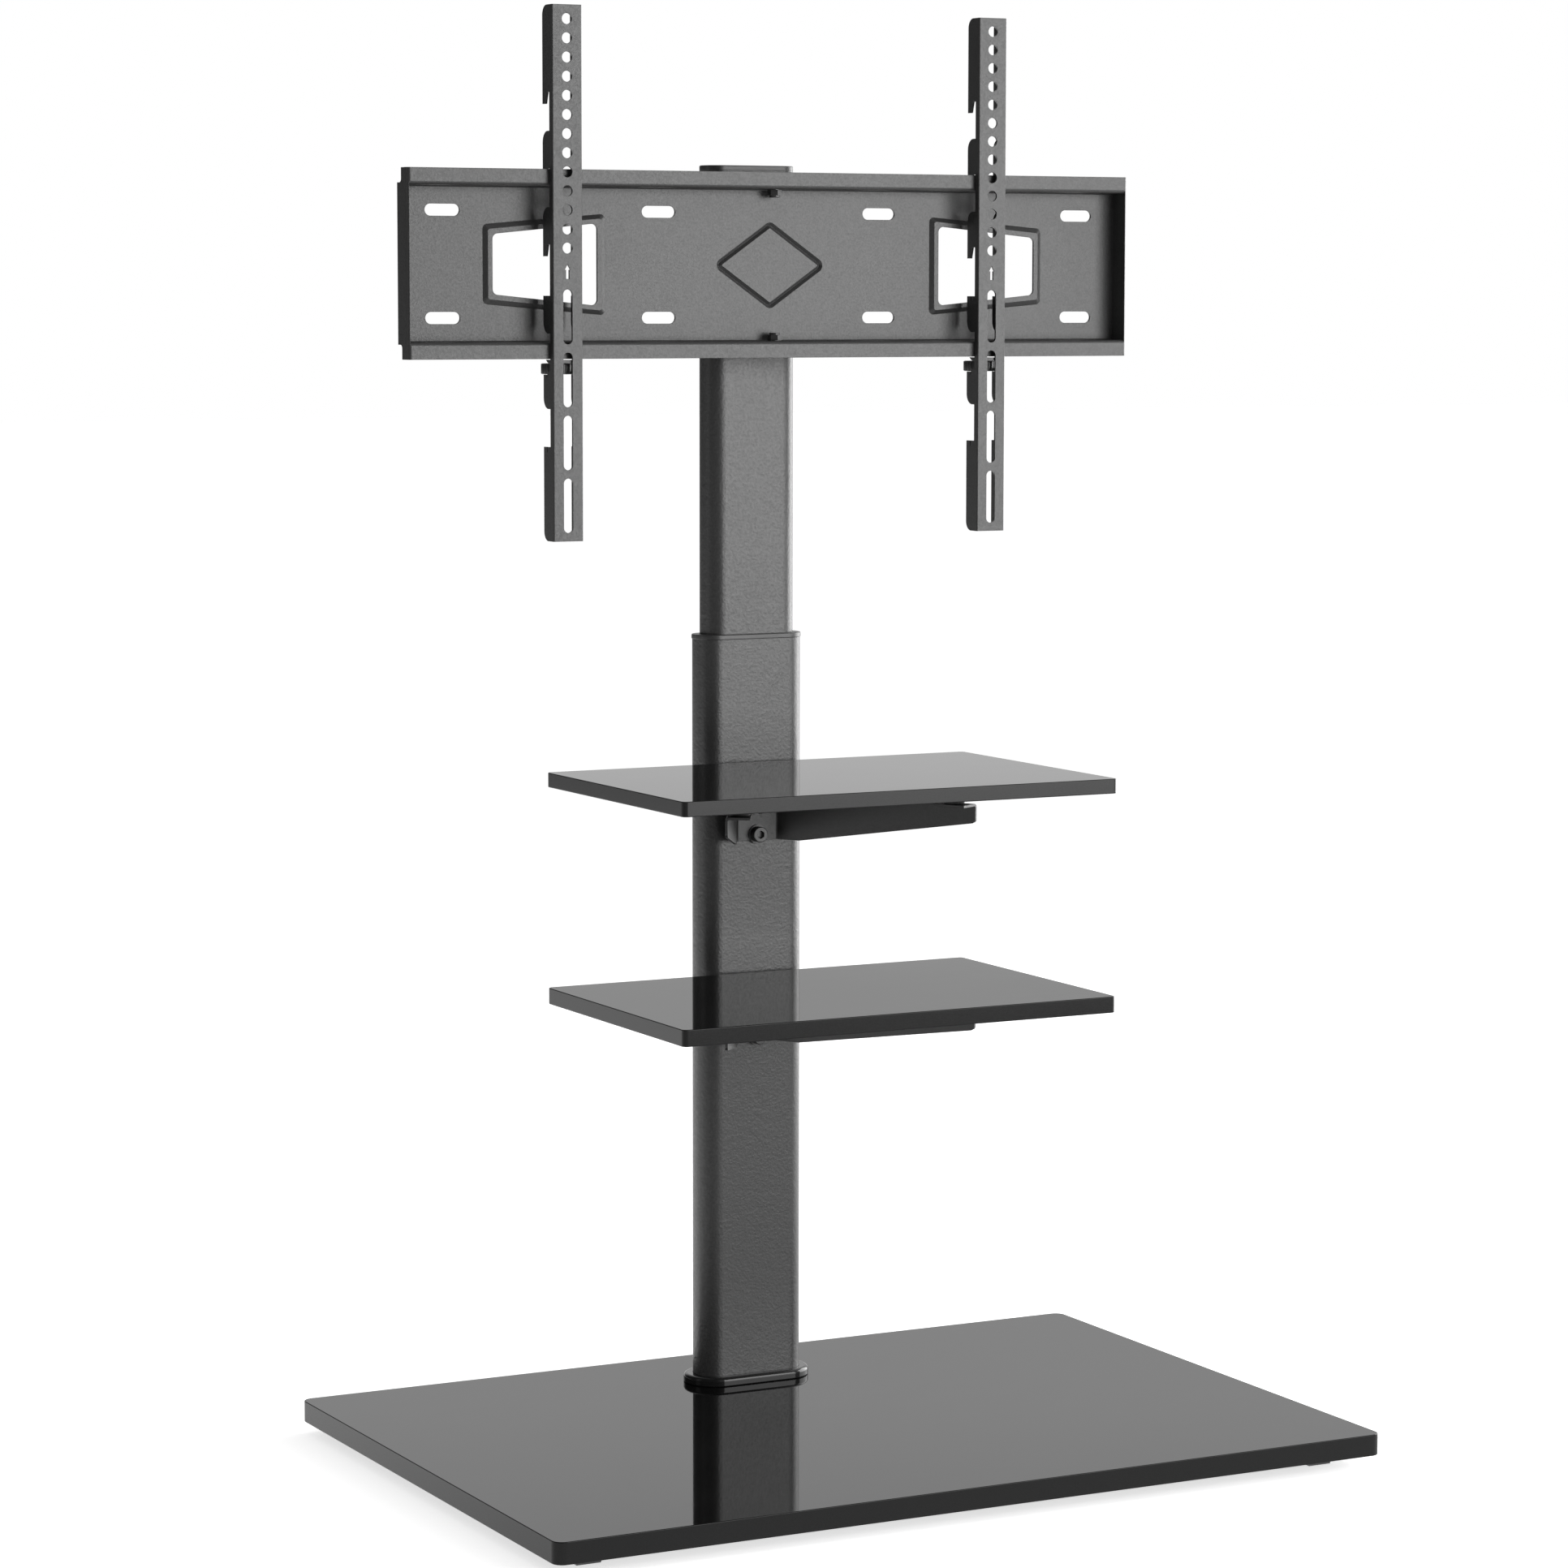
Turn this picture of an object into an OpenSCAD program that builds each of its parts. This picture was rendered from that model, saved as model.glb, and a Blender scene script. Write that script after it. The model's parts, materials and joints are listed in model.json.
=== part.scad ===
// Free-standing television stand: a board base, a telescoping oval column,
// a hooked mounting plate that swivels, two arms with thumb locks, and two
// shelves on winged brackets. Lengths are millimetres, +Z is up, the front
// faces -Y, and the origin is on the floor under the middle of the base.

/* [Base] */
// Width of the base board
base_w = 730; // [600:10:900]
// Depth of the base board
base_d = 507; // [450:1:650]
// Thickness of the base board
base_t = 17.5; // [15:0.5:30]
// Corner radius of the base board
base_corner_r = 9; // [3:0.5:30]
// Height of the feet under the board
foot_h = 10.3; // [8:0.1:25]
// Width of a foot where it meets the board
foot_top_w = 26; // [22:1:40]
// Width of a foot on the floor
foot_floor_w = 20; // [16:1:30]
// Distance from the board's edges to a foot's centre
foot_inset = 40; // [25:1:80]
// Width of the steel plate let into the underside
stiffener_w = 220; // [140:5:300]
// Depth of the steel plate let into the underside
stiffener_d = 110; // [70:5:150]
// Thickness of the steel plate let into the underside
stiffener_t = 3; // [2:0.5:5]

/* [Column] */
// Distance from the base's rear edge to the column's centre
column_back = 95.5; // [80:0.5:160]
// Width of the outer tube
outer_w = 95; // [90:1:120]
// Depth of the outer tube
outer_d = 36; // [34.8:0.2:48]
// Corner radius of the outer tube
outer_r = 16.5; // [12:0.5:17]
// Wall of the outer tube
outer_wall = 1.8; // [1.2:0.1:1.9]
// Length of the outer tube
outer_len = 627; // [600:1:700]
// Width of the inner tube
inner_w = 83; // [70:1:85]
// Depth of the inner tube
inner_d = 30; // [27:0.2:30.4]
// Wall of the inner tube
inner_wall = 1.5; // [1:0.1:2.5]
// Length of the inner tube inside the outer tube at rest
inner_inside = 190; // [150:1:300]
// Height of the inner tube's top above the outer tube's top at rest
inner_reach = 385; // [360:1:420]
// Height of the bushing's rim on top of the outer tube
bushing_rim_h = 4; // [3:0.5:12]
// Length of the bushing inside the outer tube
bushing_skirt = 44; // [20:1:60]
// Height of the end cap above the inner tube
cap_h = 4.1; // [2.5:0.1:10]
// How far the foot collar stands out from the outer tube
collar_w = 8.4; // [4:0.2:14]
// Height of the foot collar
collar_h = 7.6; // [5:0.2:16]
// Rounding on the top edge of the foot collar
collar_round = 3.2; // [0.5:0.1:3.5]

/* [Height clamp] */
// How far the inner tube can rise from rest
lift_up = 50; // [20:5:90]
// How far the inner tube can drop from rest
lift_down = 100; // [40:5:120]
// Shank diameter of the two clamp bolts
clamp_bolt_d = 8; // [6:1:10]
// Spacing of the two clamp bolts
clamp_pitch = 32; // [24:1:45]
// Distance from the outer tube's top to the upper clamp bolt
clamp_below = 62; // [54:1:90]

/* [Shelves] */
// Width of a shelf board
shelf_w = 388; // [320:1:460]
// Depth of a shelf board
shelf_d = 252; // [225:1:300]
// Thickness of the upper shelf board
upper_shelf_t = 12; // [8:0.5:18]
// Thickness of the lower shelf board
lower_shelf_t = 13.4; // [8:0.1:18]
// Corner radius of a shelf board
shelf_corner_r = 4; // [1:0.5:12]
// Space between a shelf's rear edge and the column
shelf_gap = 6.3; // [4:0.1:12]
// Height of the upper shelf's top over the floor
upper_shelf_z = 553; // [500:1:580]
// Height of the lower shelf's top over the floor
lower_shelf_z = 376.8; // [200:0.2:420]
// Sheet thickness of the winged brackets
bracket_t = 2.1; // [1.6:0.1:3]
// Width of a bracket's centre plate
bracket_w = 37.9; // [28:0.1:44]
// Height of a bracket's centre plate
bracket_h = 41.3; // [34:0.1:60]
// Length of a wing
wing_len = 194; // [150:1:215]
// Angle of a wing off the straight-ahead direction
wing_angle = 29.1; // [15:0.1:35]
// Length of a wing's level lower edge next to the column
wing_level = 23; // [10:1:60]
// Height of a wing at its tip
wing_tip_h = 15.8; // [10:0.1:25]
// Length of the folded tab at a wing's tip
tab_len = 29.4; // [24:0.2:40]
// Width of the folded tab at a wing's tip
tab_w = 20; // [18:0.5:30]
// Diameter of the rubber pads under a shelf
pad_d = 17; // [14:0.5:18]
// Height of the rubber pads under the upper shelf
upper_pad_h = 12.8; // [4:0.1:20]
// Height of the rubber pads under the lower shelf
lower_pad_h = 5; // [4:0.1:20]
// Height of the bracket bolt above the plate's lower edge
bracket_bolt_up = 5.2; // [5:0.1:12]
// Spacing of the two bolts in each bracket
bracket_bolt_pitch = 24; // [15:1:25]
// Shank diameter of the bracket bolts
bracket_bolt_d = 6; // [5:0.5:8]

/* [Television plate] */
// Width of the plate
plate_w = 658; // [600:1:760]
// Overall height of the plate, lips included
plate_h = 150; // [140:1:180]
// Sheet thickness of the plate
plate_t = 2; // [1.5:0.1:2.5]
// Depth of the plate's channel from the lips to its back
channel_d = 22.5; // [22:0.5:30]
// Height of each lip, measured from the channel's inside
lip_h = 13.6; // [13:0.1:18]
// Depth of the ears that close the lips' ends
ear_d = 12; // [8:0.5:20]
// Distance from the inner tube's front to the face of the lips
plate_reach = 48; // [46:0.5:60]
// Height of the plate's top above the inner tube's top
plate_over = -2.5; // [-20:0.5:5]
// Length of the plate's wall slots
wall_slot_len = 30; // [15:1:40]
// Width of the plate's wall slots
wall_slot_w = 9.5; // [6:0.5:12]
// Centre of the outer wall slots from the plate's middle
wall_slot_far = 290.5; // [275:0.5:295]
// Centre of the inner wall slots from the plate's middle
wall_slot_near = 101; // [90:1:120]
// Height between the two rows of wall slots
wall_slot_rise = 85; // [60:1:90]
// Distance from the middle to a window's raised frame, near side
window_near = 149; // [140:1:160]
// Distance from the middle to a window's raised frame, far side
window_far = 256; // [230:1:265]
// Height of a window's raised frame on its tall side
window_tall = 81; // [70:1:90]
// Height of a window's raised frame on its short side
window_short = 63; // [45:1:68]
// How far a window's frame is raised towards the front
window_raise = 2.2; // [1.6:0.1:4]
// Width of the flat rim around a window
window_rim = 3.9; // [2:0.1:8]
// Width of the diamond bead
diamond_w = 102; // [60:0.5:120]
// Height of the diamond bead
diamond_h = 71; // [40:1:90]
// Width of the diamond's groove
groove_w = 4.8; // [2:0.1:6]
// Depth of the diamond's groove
groove_d = 2.1; // [0.5:0.1:2.4]

/* [Swivel] */
// Distance of the swivel axis behind the face of the lips
pivot_back = 11.9; // [11:0.1:13]
// Shank diameter of the pivot bolts
pivot_bolt_d = 6; // [5:0.5:6]
// Thickness of the head bracket
head_t = 3; // [2.5:0.1:3.5]
// Width of the head bracket where it meets the column
head_w = 50; // [40:1:54]
// Radius of the head bracket's tongues around the pivot
tongue_r = 9; // [8:0.1:9.4]

/* [Arms] */
// Length of an arm
arm_len = 424; // [360:1:440]
// Width of an arm
arm_w = 26; // [24:0.5:32]
// Depth of an arm at its hooks
arm_d = 18.5; // [17:0.5:22]
// Sheet thickness of the arms
arm_t = 1.8; // [1.4:0.1:2.2]
// Distance of each arm from the middle at rest
arm_x = 194; // [160:1:240]
// Depth of a hook's slot
hook_deep = 9.1; // [6:0.1:10]
// Height of a hook lug above its seat
hook_rise = 29.6; // [20:0.2:32]
// Height of the lower lugs
lower_h = 29.8; // [20:0.1:32]
// Diameter of the round holes
arm_hole_d = 8.7; // [6:0.1:10]
// Number of round holes
arm_holes = 13; // [6:1:13]
// Distance from the arm's ends to its nearest hole or slot
arm_margin = 6.8; // [5:0.2:9]
// Width of the long slots
arm_slot_w = 8; // [6:0.5:10]
// Sheet left between two long slots
arm_slot_bridge = 6.6; // [4:0.2:12]

/* [Arm locks] */
// Diameter of the thumb wheels
wheel_d = 27.2; // [22:0.1:27.2]
// Height of the thumb wheels
wheel_h = 8.6; // [6:0.1:9]
// Number of ribs around a thumb wheel
wheel_ribs = 26; // [16:1:40]
// Height of the ribs around a thumb wheel
wheel_rib_h = 0.7; // [0.3:0.1:1.2]
// Diameter of the lock pins
pin_d = 6; // [4:0.5:7]
// Distance of the lock pins behind the arm's face
pin_back = 19.6; // [19.6:0.1:20.5]
// How far a lock pin rises out of its bridge
pin_travel = 8; // [4:0.5:10]

/* [Hidden] */
$fn = 64;

// Overrun of a cut past the face it opens
cut = 1;
// Gap between two pieces that slide or turn on each other
run = 0.3;
// Gap round a screw in its hole
screw_play = 0.2;
// Softened edge of the boards
board_edge = 0.7;
// Inside radius of a bend in sheet steel
bend_r = 1.2;
// Rounding of small moulded parts
mould_round = 1;
// Gap between a hook's seat and the lip hung in it
hook_play = 0.4;

board_z = foot_h;
floor_top = foot_h + base_t;
outer_top = floor_top + outer_len;
inner_top = outer_top + inner_reach;
inner_low = outer_top - inner_inside;
inner_r = inner_d / 2;
column_y = base_d / 2 - column_back;
column_front = column_y - outer_d / 2;
column_rear = column_y + outer_d / 2;
inner_front = column_y - inner_d / 2;
inner_rear = column_y + inner_d / 2;
outer_in_w = outer_w - 2 * outer_wall;
outer_in_d = outer_d - 2 * outer_wall;
outer_in_r = outer_r - outer_wall;

lip_front = inner_front - plate_reach;
plate_top = inner_top + plate_over;
plate_bottom = plate_top - plate_h;
plate_mid = (plate_top + plate_bottom) / 2;
panel_deep = channel_d - plate_t;
channel_top = plate_top - lip_h;
channel_bottom = plate_bottom + lip_h;
pivot_y = lip_front + pivot_back;

hook_first_share = 0.16156;
hook_pitch_share = 0.14151;
lower_first_share = 0.53962;
hole_pitch_share = 0.035377;
slot_pitch_share = 0.117925;
hook_first = arm_len * hook_first_share;
hook_pitch = arm_len * hook_pitch_share;
lower_first = arm_len * lower_first_share;
arm_hole_pitch = arm_len * hole_pitch_share;
arm_slot_pitch = arm_len * slot_pitch_share;
arm_slot_len = arm_slot_pitch - arm_slot_bridge;

web_d = 0.31 * arm_d;
arm_face = lip_front - run - web_d;
arm_top = plate_top + hook_play + hook_first + hook_pitch;
arm_bottom = arm_top - arm_len;
pin_y = arm_face + pin_back;

// Plain rectangle with round corners, centred
module round_rect(w, d, r) {
    if (w > 2 * r) square([w - 2 * r, d], center = true);
    if (d > 2 * r) square([w, d - 2 * r], center = true);
    for (sx = [-1, 1], sy = [-1, 1])
        translate([sx * (w / 2 - r), sy * (d / 2 - r)]) circle(r);
}

// Edge section of a slab: r out from its centre, h high, top and bottom rounded
module slab_section(r, h, top, bottom) {
    difference() {
        square([r, h]);
        if (top > 0) translate([r - top, h - top]) difference() {
            square(top + cut);
            circle(top);
        }
        if (bottom > 0) translate([r - bottom, bottom]) mirror([0, 1]) difference() {
            square(bottom + cut);
            circle(bottom);
        }
    }
}

// Slab with round corners and softened rims, standing on z = 0
module soft_slab(w, d, r, h, top, bottom) {
    run_w = w - 2 * r;
    run_d = d - 2 * r;
    if (run_w > 0 && run_d > 0) translate([-run_w / 2, -run_d / 2, 0]) cube([run_w, run_d, h]);
    for (sx = [0, 1], sy = [0, 1]) mirror([sx, 0, 0]) mirror([0, sy, 0])
        translate([run_w / 2, run_d / 2, 0]) rotate_extrude(angle = 90) slab_section(r, h, top, bottom);
    if (run_d > 0) for (sx = [0, 1]) mirror([sx, 0, 0])
        translate([run_w / 2, run_d / 2, 0]) rotate([90, 0, 0])
            linear_extrude(run_d) slab_section(r, h, top, bottom);
    if (run_w > 0) for (sy = [0, 1]) mirror([0, sy, 0])
        translate([-run_w / 2, run_d / 2, 0]) rotate([90, 0, 90])
            linear_extrude(run_w) slab_section(r, h, top, bottom);
}

// Prism of a 2D shape drawn in x and z, running back from y = 0
module along_y(len) {
    translate([0, len, 0]) rotate([90, 0, 0]) linear_extrude(len) children();
}

// Prism of a 2D shape drawn in y and z, centred on x = 0
module along_x(len) {
    translate([-len / 2, 0, 0]) rotate([90, 0, 90]) linear_extrude(len) children();
}

// Unit direction from a to b
function heading(a, b) = (b - a) / norm(b - a);
// Left-hand normal of a direction
function left_of(u) = [-u[1], u[0]];
// Signed turn from direction u to direction v
function turn_of(u, v) = atan2(u[0] * v[1] - u[1] * v[0], u[0] * v[0] + u[1] * v[1]);

// Convex outline with every corner rounded to radius r, its points in order
module round_outline(pts, r) {
    n = len(pts);
    corners = [for (i = [0:n - 1])
        let (p = pts[i], u = heading(p, pts[(i + n - 1) % n]), v = heading(p, pts[(i + 1) % n]),
            half = acos(u * v) / 2, back = r / tan(half))
        [p + u * back, p + v * back, p + heading([0, 0], u + v) * r / sin(half)]];
    polygon([for (c = corners) for (k = [0, 1]) c[k]]);
    for (c = corners) translate(c[2]) circle(r);
}

// Corners of an upright box, anticlockwise
function box_points(x0, x1, y0, y1) = [[x0, y0], [x1, y0], [x1, y1], [x0, y1]];

// Straight piece of bent sheet between a and b
module sheet_run(a, b, t) {
    n = left_of(heading(a, b)) * t / 2;
    polygon([a + n, b + n, b - n, a - n]);
}

// Bent sheet of thickness t on a centre line, with inside bend radius r
module bent_sheet(pts, t, r) {
    last = len(pts) - 1;
    mid_r = r + t / 2;
    trims = [for (i = [0:last]) (i == 0 || i == last) ? 0
        : mid_r * tan(abs(turn_of(heading(pts[i - 1], pts[i]), heading(pts[i], pts[i + 1]))) / 2)];
    for (i = [0:last - 1]) {
        u = heading(pts[i], pts[i + 1]);
        sheet_run(pts[i] + u * trims[i], pts[i + 1] - u * trims[i + 1], t);
    }
    for (i = [1:last - 1]) {
        u = heading(pts[i - 1], pts[i]);
        v = heading(pts[i], pts[i + 1]);
        turn = turn_of(u, v);
        side = sign(turn);
        centre = pts[i] - u * trims[i] + left_of(u) * side * mid_r;
        from = -left_of(u) * side;
        to = -left_of(v) * side;
        middle = heading([0, 0], from + to) / cos(turn / 2);
        reach = 2 * (mid_r + t);
        intersection() {
            translate(centre) difference() {
                circle(mid_r + t / 2);
                circle(mid_r - t / 2);
            }
            polygon([centre, centre + from * reach, centre + middle * reach, centre + to * reach]);
        }
    }
}

// Hexagon prism of width af across its flats
module hex(af, h) {
    rotate(30) cylinder(h = h, d = af / cos(30), $fn = 6);
}

// Oval tube ring between an outside and an inside outline
module oval_ring(ow, od, r_out, iw, id, r_in, h) {
    linear_extrude(h) difference() {
        round_rect(ow, od, r_out);
        round_rect(iw, id, r_in);
    }
}

// Base

stiffener_fit = 0.2;
stiffener_corner_r = stiffener_t * 4;
base_bolt_d = 8;
base_bolt_head_d = 13;
base_bolt_head_h = 5;
base_bolt_x = outer_w * 0.3;
base_bolt_y = outer_d * 0.22;
end_plate_t = 6;
foot_screw_d = 4;
foot_screw_head_d = 8;
foot_screw_head_h = 2.6;
foot_recess_d = 9.5;
foot_recess_h = 5.2;
foot_screw_bite = 11;

module at_base_bolts() {
    for (sx = [-1, 1], sy = [-1, 1])
        translate([sx * base_bolt_x, column_y + sy * base_bolt_y, 0]) children();
}

module at_feet() {
    for (sx = [-1, 1], sy = [-1, 1])
        translate([sx * (base_w / 2 - foot_inset), sy * (base_d / 2 - foot_inset), 0]) children();
}

module base_board() {
    color([0.16, 0.16, 0.16]) difference() {
        translate([0, 0, board_z])
            soft_slab(base_w, base_d, base_corner_r, base_t, board_edge, board_edge);
        translate([0, column_y, board_z - cut]) linear_extrude(stiffener_t + stiffener_fit + cut)
            round_rect(stiffener_w + 2 * stiffener_fit, stiffener_d + 2 * stiffener_fit,
                stiffener_corner_r + stiffener_fit);
        at_base_bolts() cylinder(h = floor_top + cut, d = base_bolt_d + 2 * screw_play);
        at_feet() translate([0, 0, board_z - cut])
            cylinder(h = foot_screw_bite + cut + screw_play, d = foot_screw_d + 2 * screw_play);
    }
}

// One foot narrows downwards on all four sides
module foot() {
    half = foot_top_w / 2;
    low = foot_floor_w / 2;
    outline = [[-low, 0], [low, 0], [half, foot_h], [-half, foot_h]];
    difference() {
        intersection() {
            translate([0, -half, 0]) along_y(foot_top_w) polygon(outline);
            along_x(foot_top_w) polygon(outline);
        }
        translate([0, 0, -cut]) cylinder(h = foot_recess_h + cut, d = foot_recess_d);
        cylinder(h = foot_h + cut, d = foot_screw_d + 2 * screw_play);
    }
}

module base_feet() {
    color([0.05, 0.05, 0.05]) at_feet() foot();
}

module foot_screws() {
    color([0.55, 0.55, 0.56]) at_feet() {
        translate([0, 0, foot_recess_h - foot_screw_head_h])
            cylinder(h = foot_screw_head_h, d = foot_screw_head_d);
        translate([0, 0, foot_recess_h])
            cylinder(h = foot_h - foot_recess_h + foot_screw_bite, d = foot_screw_d);
    }
}

module base_stiffener() {
    color([0.12, 0.12, 0.12]) difference() {
        translate([0, column_y, board_z]) linear_extrude(stiffener_t)
            round_rect(stiffener_w, stiffener_d, stiffener_corner_r);
        at_base_bolts() cylinder(h = floor_top, d = base_bolt_d + 2 * screw_play);
    }
}

module base_bolts() {
    color([0.3, 0.3, 0.31]) at_base_bolts() difference() {
        union() {
            translate([0, 0, board_z - base_bolt_head_h])
                cylinder(h = base_bolt_head_h, d = base_bolt_head_d);
            translate([0, 0, board_z]) cylinder(h = base_t + end_plate_t, d = base_bolt_d);
        }
        translate([0, 0, board_z - base_bolt_head_h - cut])
            hex(base_bolt_d * 0.75, base_bolt_head_h * 0.6 + cut);
    }
}

module column_end_plate() {
    color([0.25, 0.25, 0.26]) difference() {
        translate([0, column_y, floor_top]) linear_extrude(end_plate_t)
            round_rect(outer_in_w - 2 * screw_play, outer_in_d - 2 * screw_play, outer_in_r - screw_play);
        at_base_bolts() cylinder(h = floor_top + end_plate_t + cut, d = base_bolt_d + 2 * screw_play);
    }
}

// Column

rivet_bulge_t = 1;
rivet_wall = 1.4;
rivet_len = 12;

// Outside of a rivet nut's body, and of the bulge that grips the tube's wall from behind
function rivet_body(d) = d + 2 * rivet_wall;
function rivet_bulge(d) = d + 4 * rivet_wall;

bushing_lip = 0.6;
bushing_fit = 0.15;
clamp_head_d = clamp_bolt_d * 1.6;
clamp_head_h = clamp_bolt_d * 0.7;
clamp_z = [outer_top - clamp_below, outer_top - clamp_below - clamp_pitch];
nut_bar_t = 6;
nut_bar_w = 20;
nut_bar_end = 11;
slot_play = 0.6;
rear_slot_w = clamp_bolt_d + 2 * slot_play;
rear_slot_low = clamp_z[1] - lift_up;
rear_slot_high = clamp_z[0] + lift_down;
front_slot_w = rivet_bulge(bracket_bolt_d) + 2 * slot_play;
glide_len = 40;
glide_base_t = 4;
glide_plug_len = 24;
glide_plug_wall = 2;
cap_plug_len = 18;
plug_play = 0.2;
collar_gap = 0.15;

module at_clamp_bolts() {
    for (z = clamp_z) translate([0, 0, z]) children();
}

module outer_column() {
    color([0.2, 0.2, 0.2]) difference() {
        translate([0, column_y, floor_top])
            oval_ring(outer_w, outer_d, outer_r, outer_in_w, outer_in_d, outer_in_r, outer_len);
        at_clamp_bolts() translate([0, column_y, 0]) rotate([-90, 0, 0])
            cylinder(h = outer_d, d = clamp_bolt_d + 2 * screw_play);
        at_bracket_bolts() translate([0, column_y, 0]) rotate([90, 0, 0])
            cylinder(h = outer_d, d = rivet_body(bracket_bolt_d) + 2 * screw_play);
    }
}

module foot_collar() {
    w = outer_w + 2 * collar_w;
    d = outer_d + 2 * collar_w;
    color([0.09, 0.09, 0.09]) translate([0, column_y, floor_top]) difference() {
        soft_slab(w, d, d / 2, collar_h, collar_round, mould_round);
        translate([0, 0, -cut]) linear_extrude(collar_h + 2 * cut)
            round_rect(outer_w + 2 * collar_gap, outer_d + 2 * collar_gap, outer_r + collar_gap);
    }
}

module column_bushing() {
    hole_h = bushing_skirt + bushing_rim_h + 2 * cut;
    color([0.08, 0.08, 0.08]) translate([0, column_y, 0]) difference() {
        union() {
            translate([0, 0, outer_top])
                soft_slab(outer_w + 2 * bushing_lip, outer_d + 2 * bushing_lip, outer_r + bushing_lip,
                    bushing_rim_h, mould_round, mould_round / 2);
            translate([0, 0, outer_top - bushing_skirt]) linear_extrude(bushing_skirt)
                round_rect(outer_in_w - 2 * bushing_fit, outer_in_d - 2 * bushing_fit,
                    outer_in_r - bushing_fit);
        }
        translate([0, 0, outer_top - bushing_skirt - cut]) linear_extrude(hole_h)
            round_rect(inner_w + 2 * run, inner_d + 2 * run, inner_r + run);
    }
}

module clamp_bolts() {
    grip = column_rear - inner_rear + inner_wall + run + nut_bar_t;
    color([0.3, 0.3, 0.31]) at_clamp_bolts() translate([0, column_rear, 0]) rotate([-90, 0, 0]) {
        difference() {
            cylinder(h = clamp_head_h, d = clamp_head_d);
            translate([0, 0, clamp_head_h * 0.4]) hex(clamp_bolt_d * 0.75, clamp_head_h);
        }
        translate([0, 0, -grip]) cylinder(h = grip, d = clamp_bolt_d);
    }
}

module clamp_nut_bar() {
    front = inner_rear - inner_wall - run - nut_bar_t;
    color([0.4, 0.4, 0.41]) difference() {
        translate([-nut_bar_w / 2, front, clamp_z[1] - nut_bar_end])
            cube([nut_bar_w, nut_bar_t, clamp_pitch + 2 * nut_bar_end]);
        at_clamp_bolts() translate([0, column_y, 0]) rotate([-90, 0, 0])
            cylinder(h = outer_d, d = clamp_bolt_d + 2 * screw_play);
    }
}

// Slot in the inner tube's front wall that passes over the brackets' rivet nuts
module front_slot() {
    high = bracket_low(0) + bracket_bolt_up + bracket_bolt_pitch + lift_down;
    translate([0, high]) circle(d = front_slot_w);
    translate([-front_slot_w / 2, inner_low - glide_base_t - cut])
        square([front_slot_w, high - inner_low + glide_base_t + cut]);
}

module rear_slot() {
    for (z = [rear_slot_low, rear_slot_high]) translate([0, z]) circle(d = rear_slot_w);
    translate([-rear_slot_w / 2, rear_slot_low]) square([rear_slot_w, rear_slot_high - rear_slot_low]);
}

module inner_column() {
    color([0.28, 0.28, 0.28]) difference() {
        translate([0, column_y, inner_low])
            oval_ring(inner_w, inner_d, inner_r, inner_w - 2 * inner_wall, inner_d - 2 * inner_wall,
                inner_r - inner_wall, inner_reach + inner_inside);
        translate([0, column_y, 0]) along_y(inner_d) rear_slot();
        translate([0, column_y - inner_d, 0]) along_y(inner_d) front_slot();
        at_head_screws() translate([0, column_y, 0]) rotate([90, 0, 0])
            cylinder(h = inner_d, d = rivet_body(head_screw_d) + 2 * screw_play);
    }
}

// Plastic runner on the inner tube's lower end, open where the bolts and rivets pass
module inner_glide() {
    outside_w = outer_in_w - 2 * run;
    outside_d = outer_in_d - 2 * run;
    outside_r = outer_in_r - run;
    plug_w = inner_w - 2 * inner_wall - 2 * plug_play;
    plug_d = inner_d - 2 * inner_wall - 2 * plug_play;
    plug_r = inner_r - inner_wall - plug_play;
    front = column_front + rivet_len + 2 * run;
    rear = inner_rear - inner_wall - nut_bar_t - 2 * run;
    color([0.75, 0.75, 0.73]) difference() {
        translate([0, column_y, inner_low]) {
            translate([0, 0, -glide_base_t]) linear_extrude(glide_base_t)
                round_rect(outside_w, outside_d, outside_r);
            oval_ring(outside_w, outside_d, outside_r, inner_w + 2 * plug_play, inner_d + 2 * plug_play,
                inner_r + plug_play, glide_len);
            oval_ring(plug_w, plug_d, plug_r, plug_w - 2 * glide_plug_wall,
                plug_d - 2 * glide_plug_wall, plug_r - glide_plug_wall, glide_plug_len);
        }
        translate([-front_slot_w / 2, front - outer_d, inner_low - glide_base_t - cut])
            cube([front_slot_w, outer_d, glide_len + glide_base_t + 2 * cut]);
        translate([-nut_bar_w / 2 - run, rear, inner_low - glide_base_t - cut])
            cube([nut_bar_w + 2 * run, outer_d, glide_len + glide_base_t + 2 * cut]);
    }
}

module column_cap() {
    plug_w = inner_w - 2 * inner_wall - 2 * plug_play;
    plug_d = inner_d - 2 * inner_wall - 2 * plug_play;
    plug_r = inner_r - inner_wall - plug_play;
    color([0.1, 0.1, 0.1]) translate([0, column_y, inner_top]) {
        soft_slab(inner_w, inner_d, inner_r, cap_h, mould_round, 0);
        translate([0, 0, -cap_plug_len])
            oval_ring(plug_w, plug_d, plug_r, plug_w - 2 * glide_plug_wall,
                plug_d - 2 * glide_plug_wall, plug_r - glide_plug_wall, cap_plug_len);
    }
}

// Shelves

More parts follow.
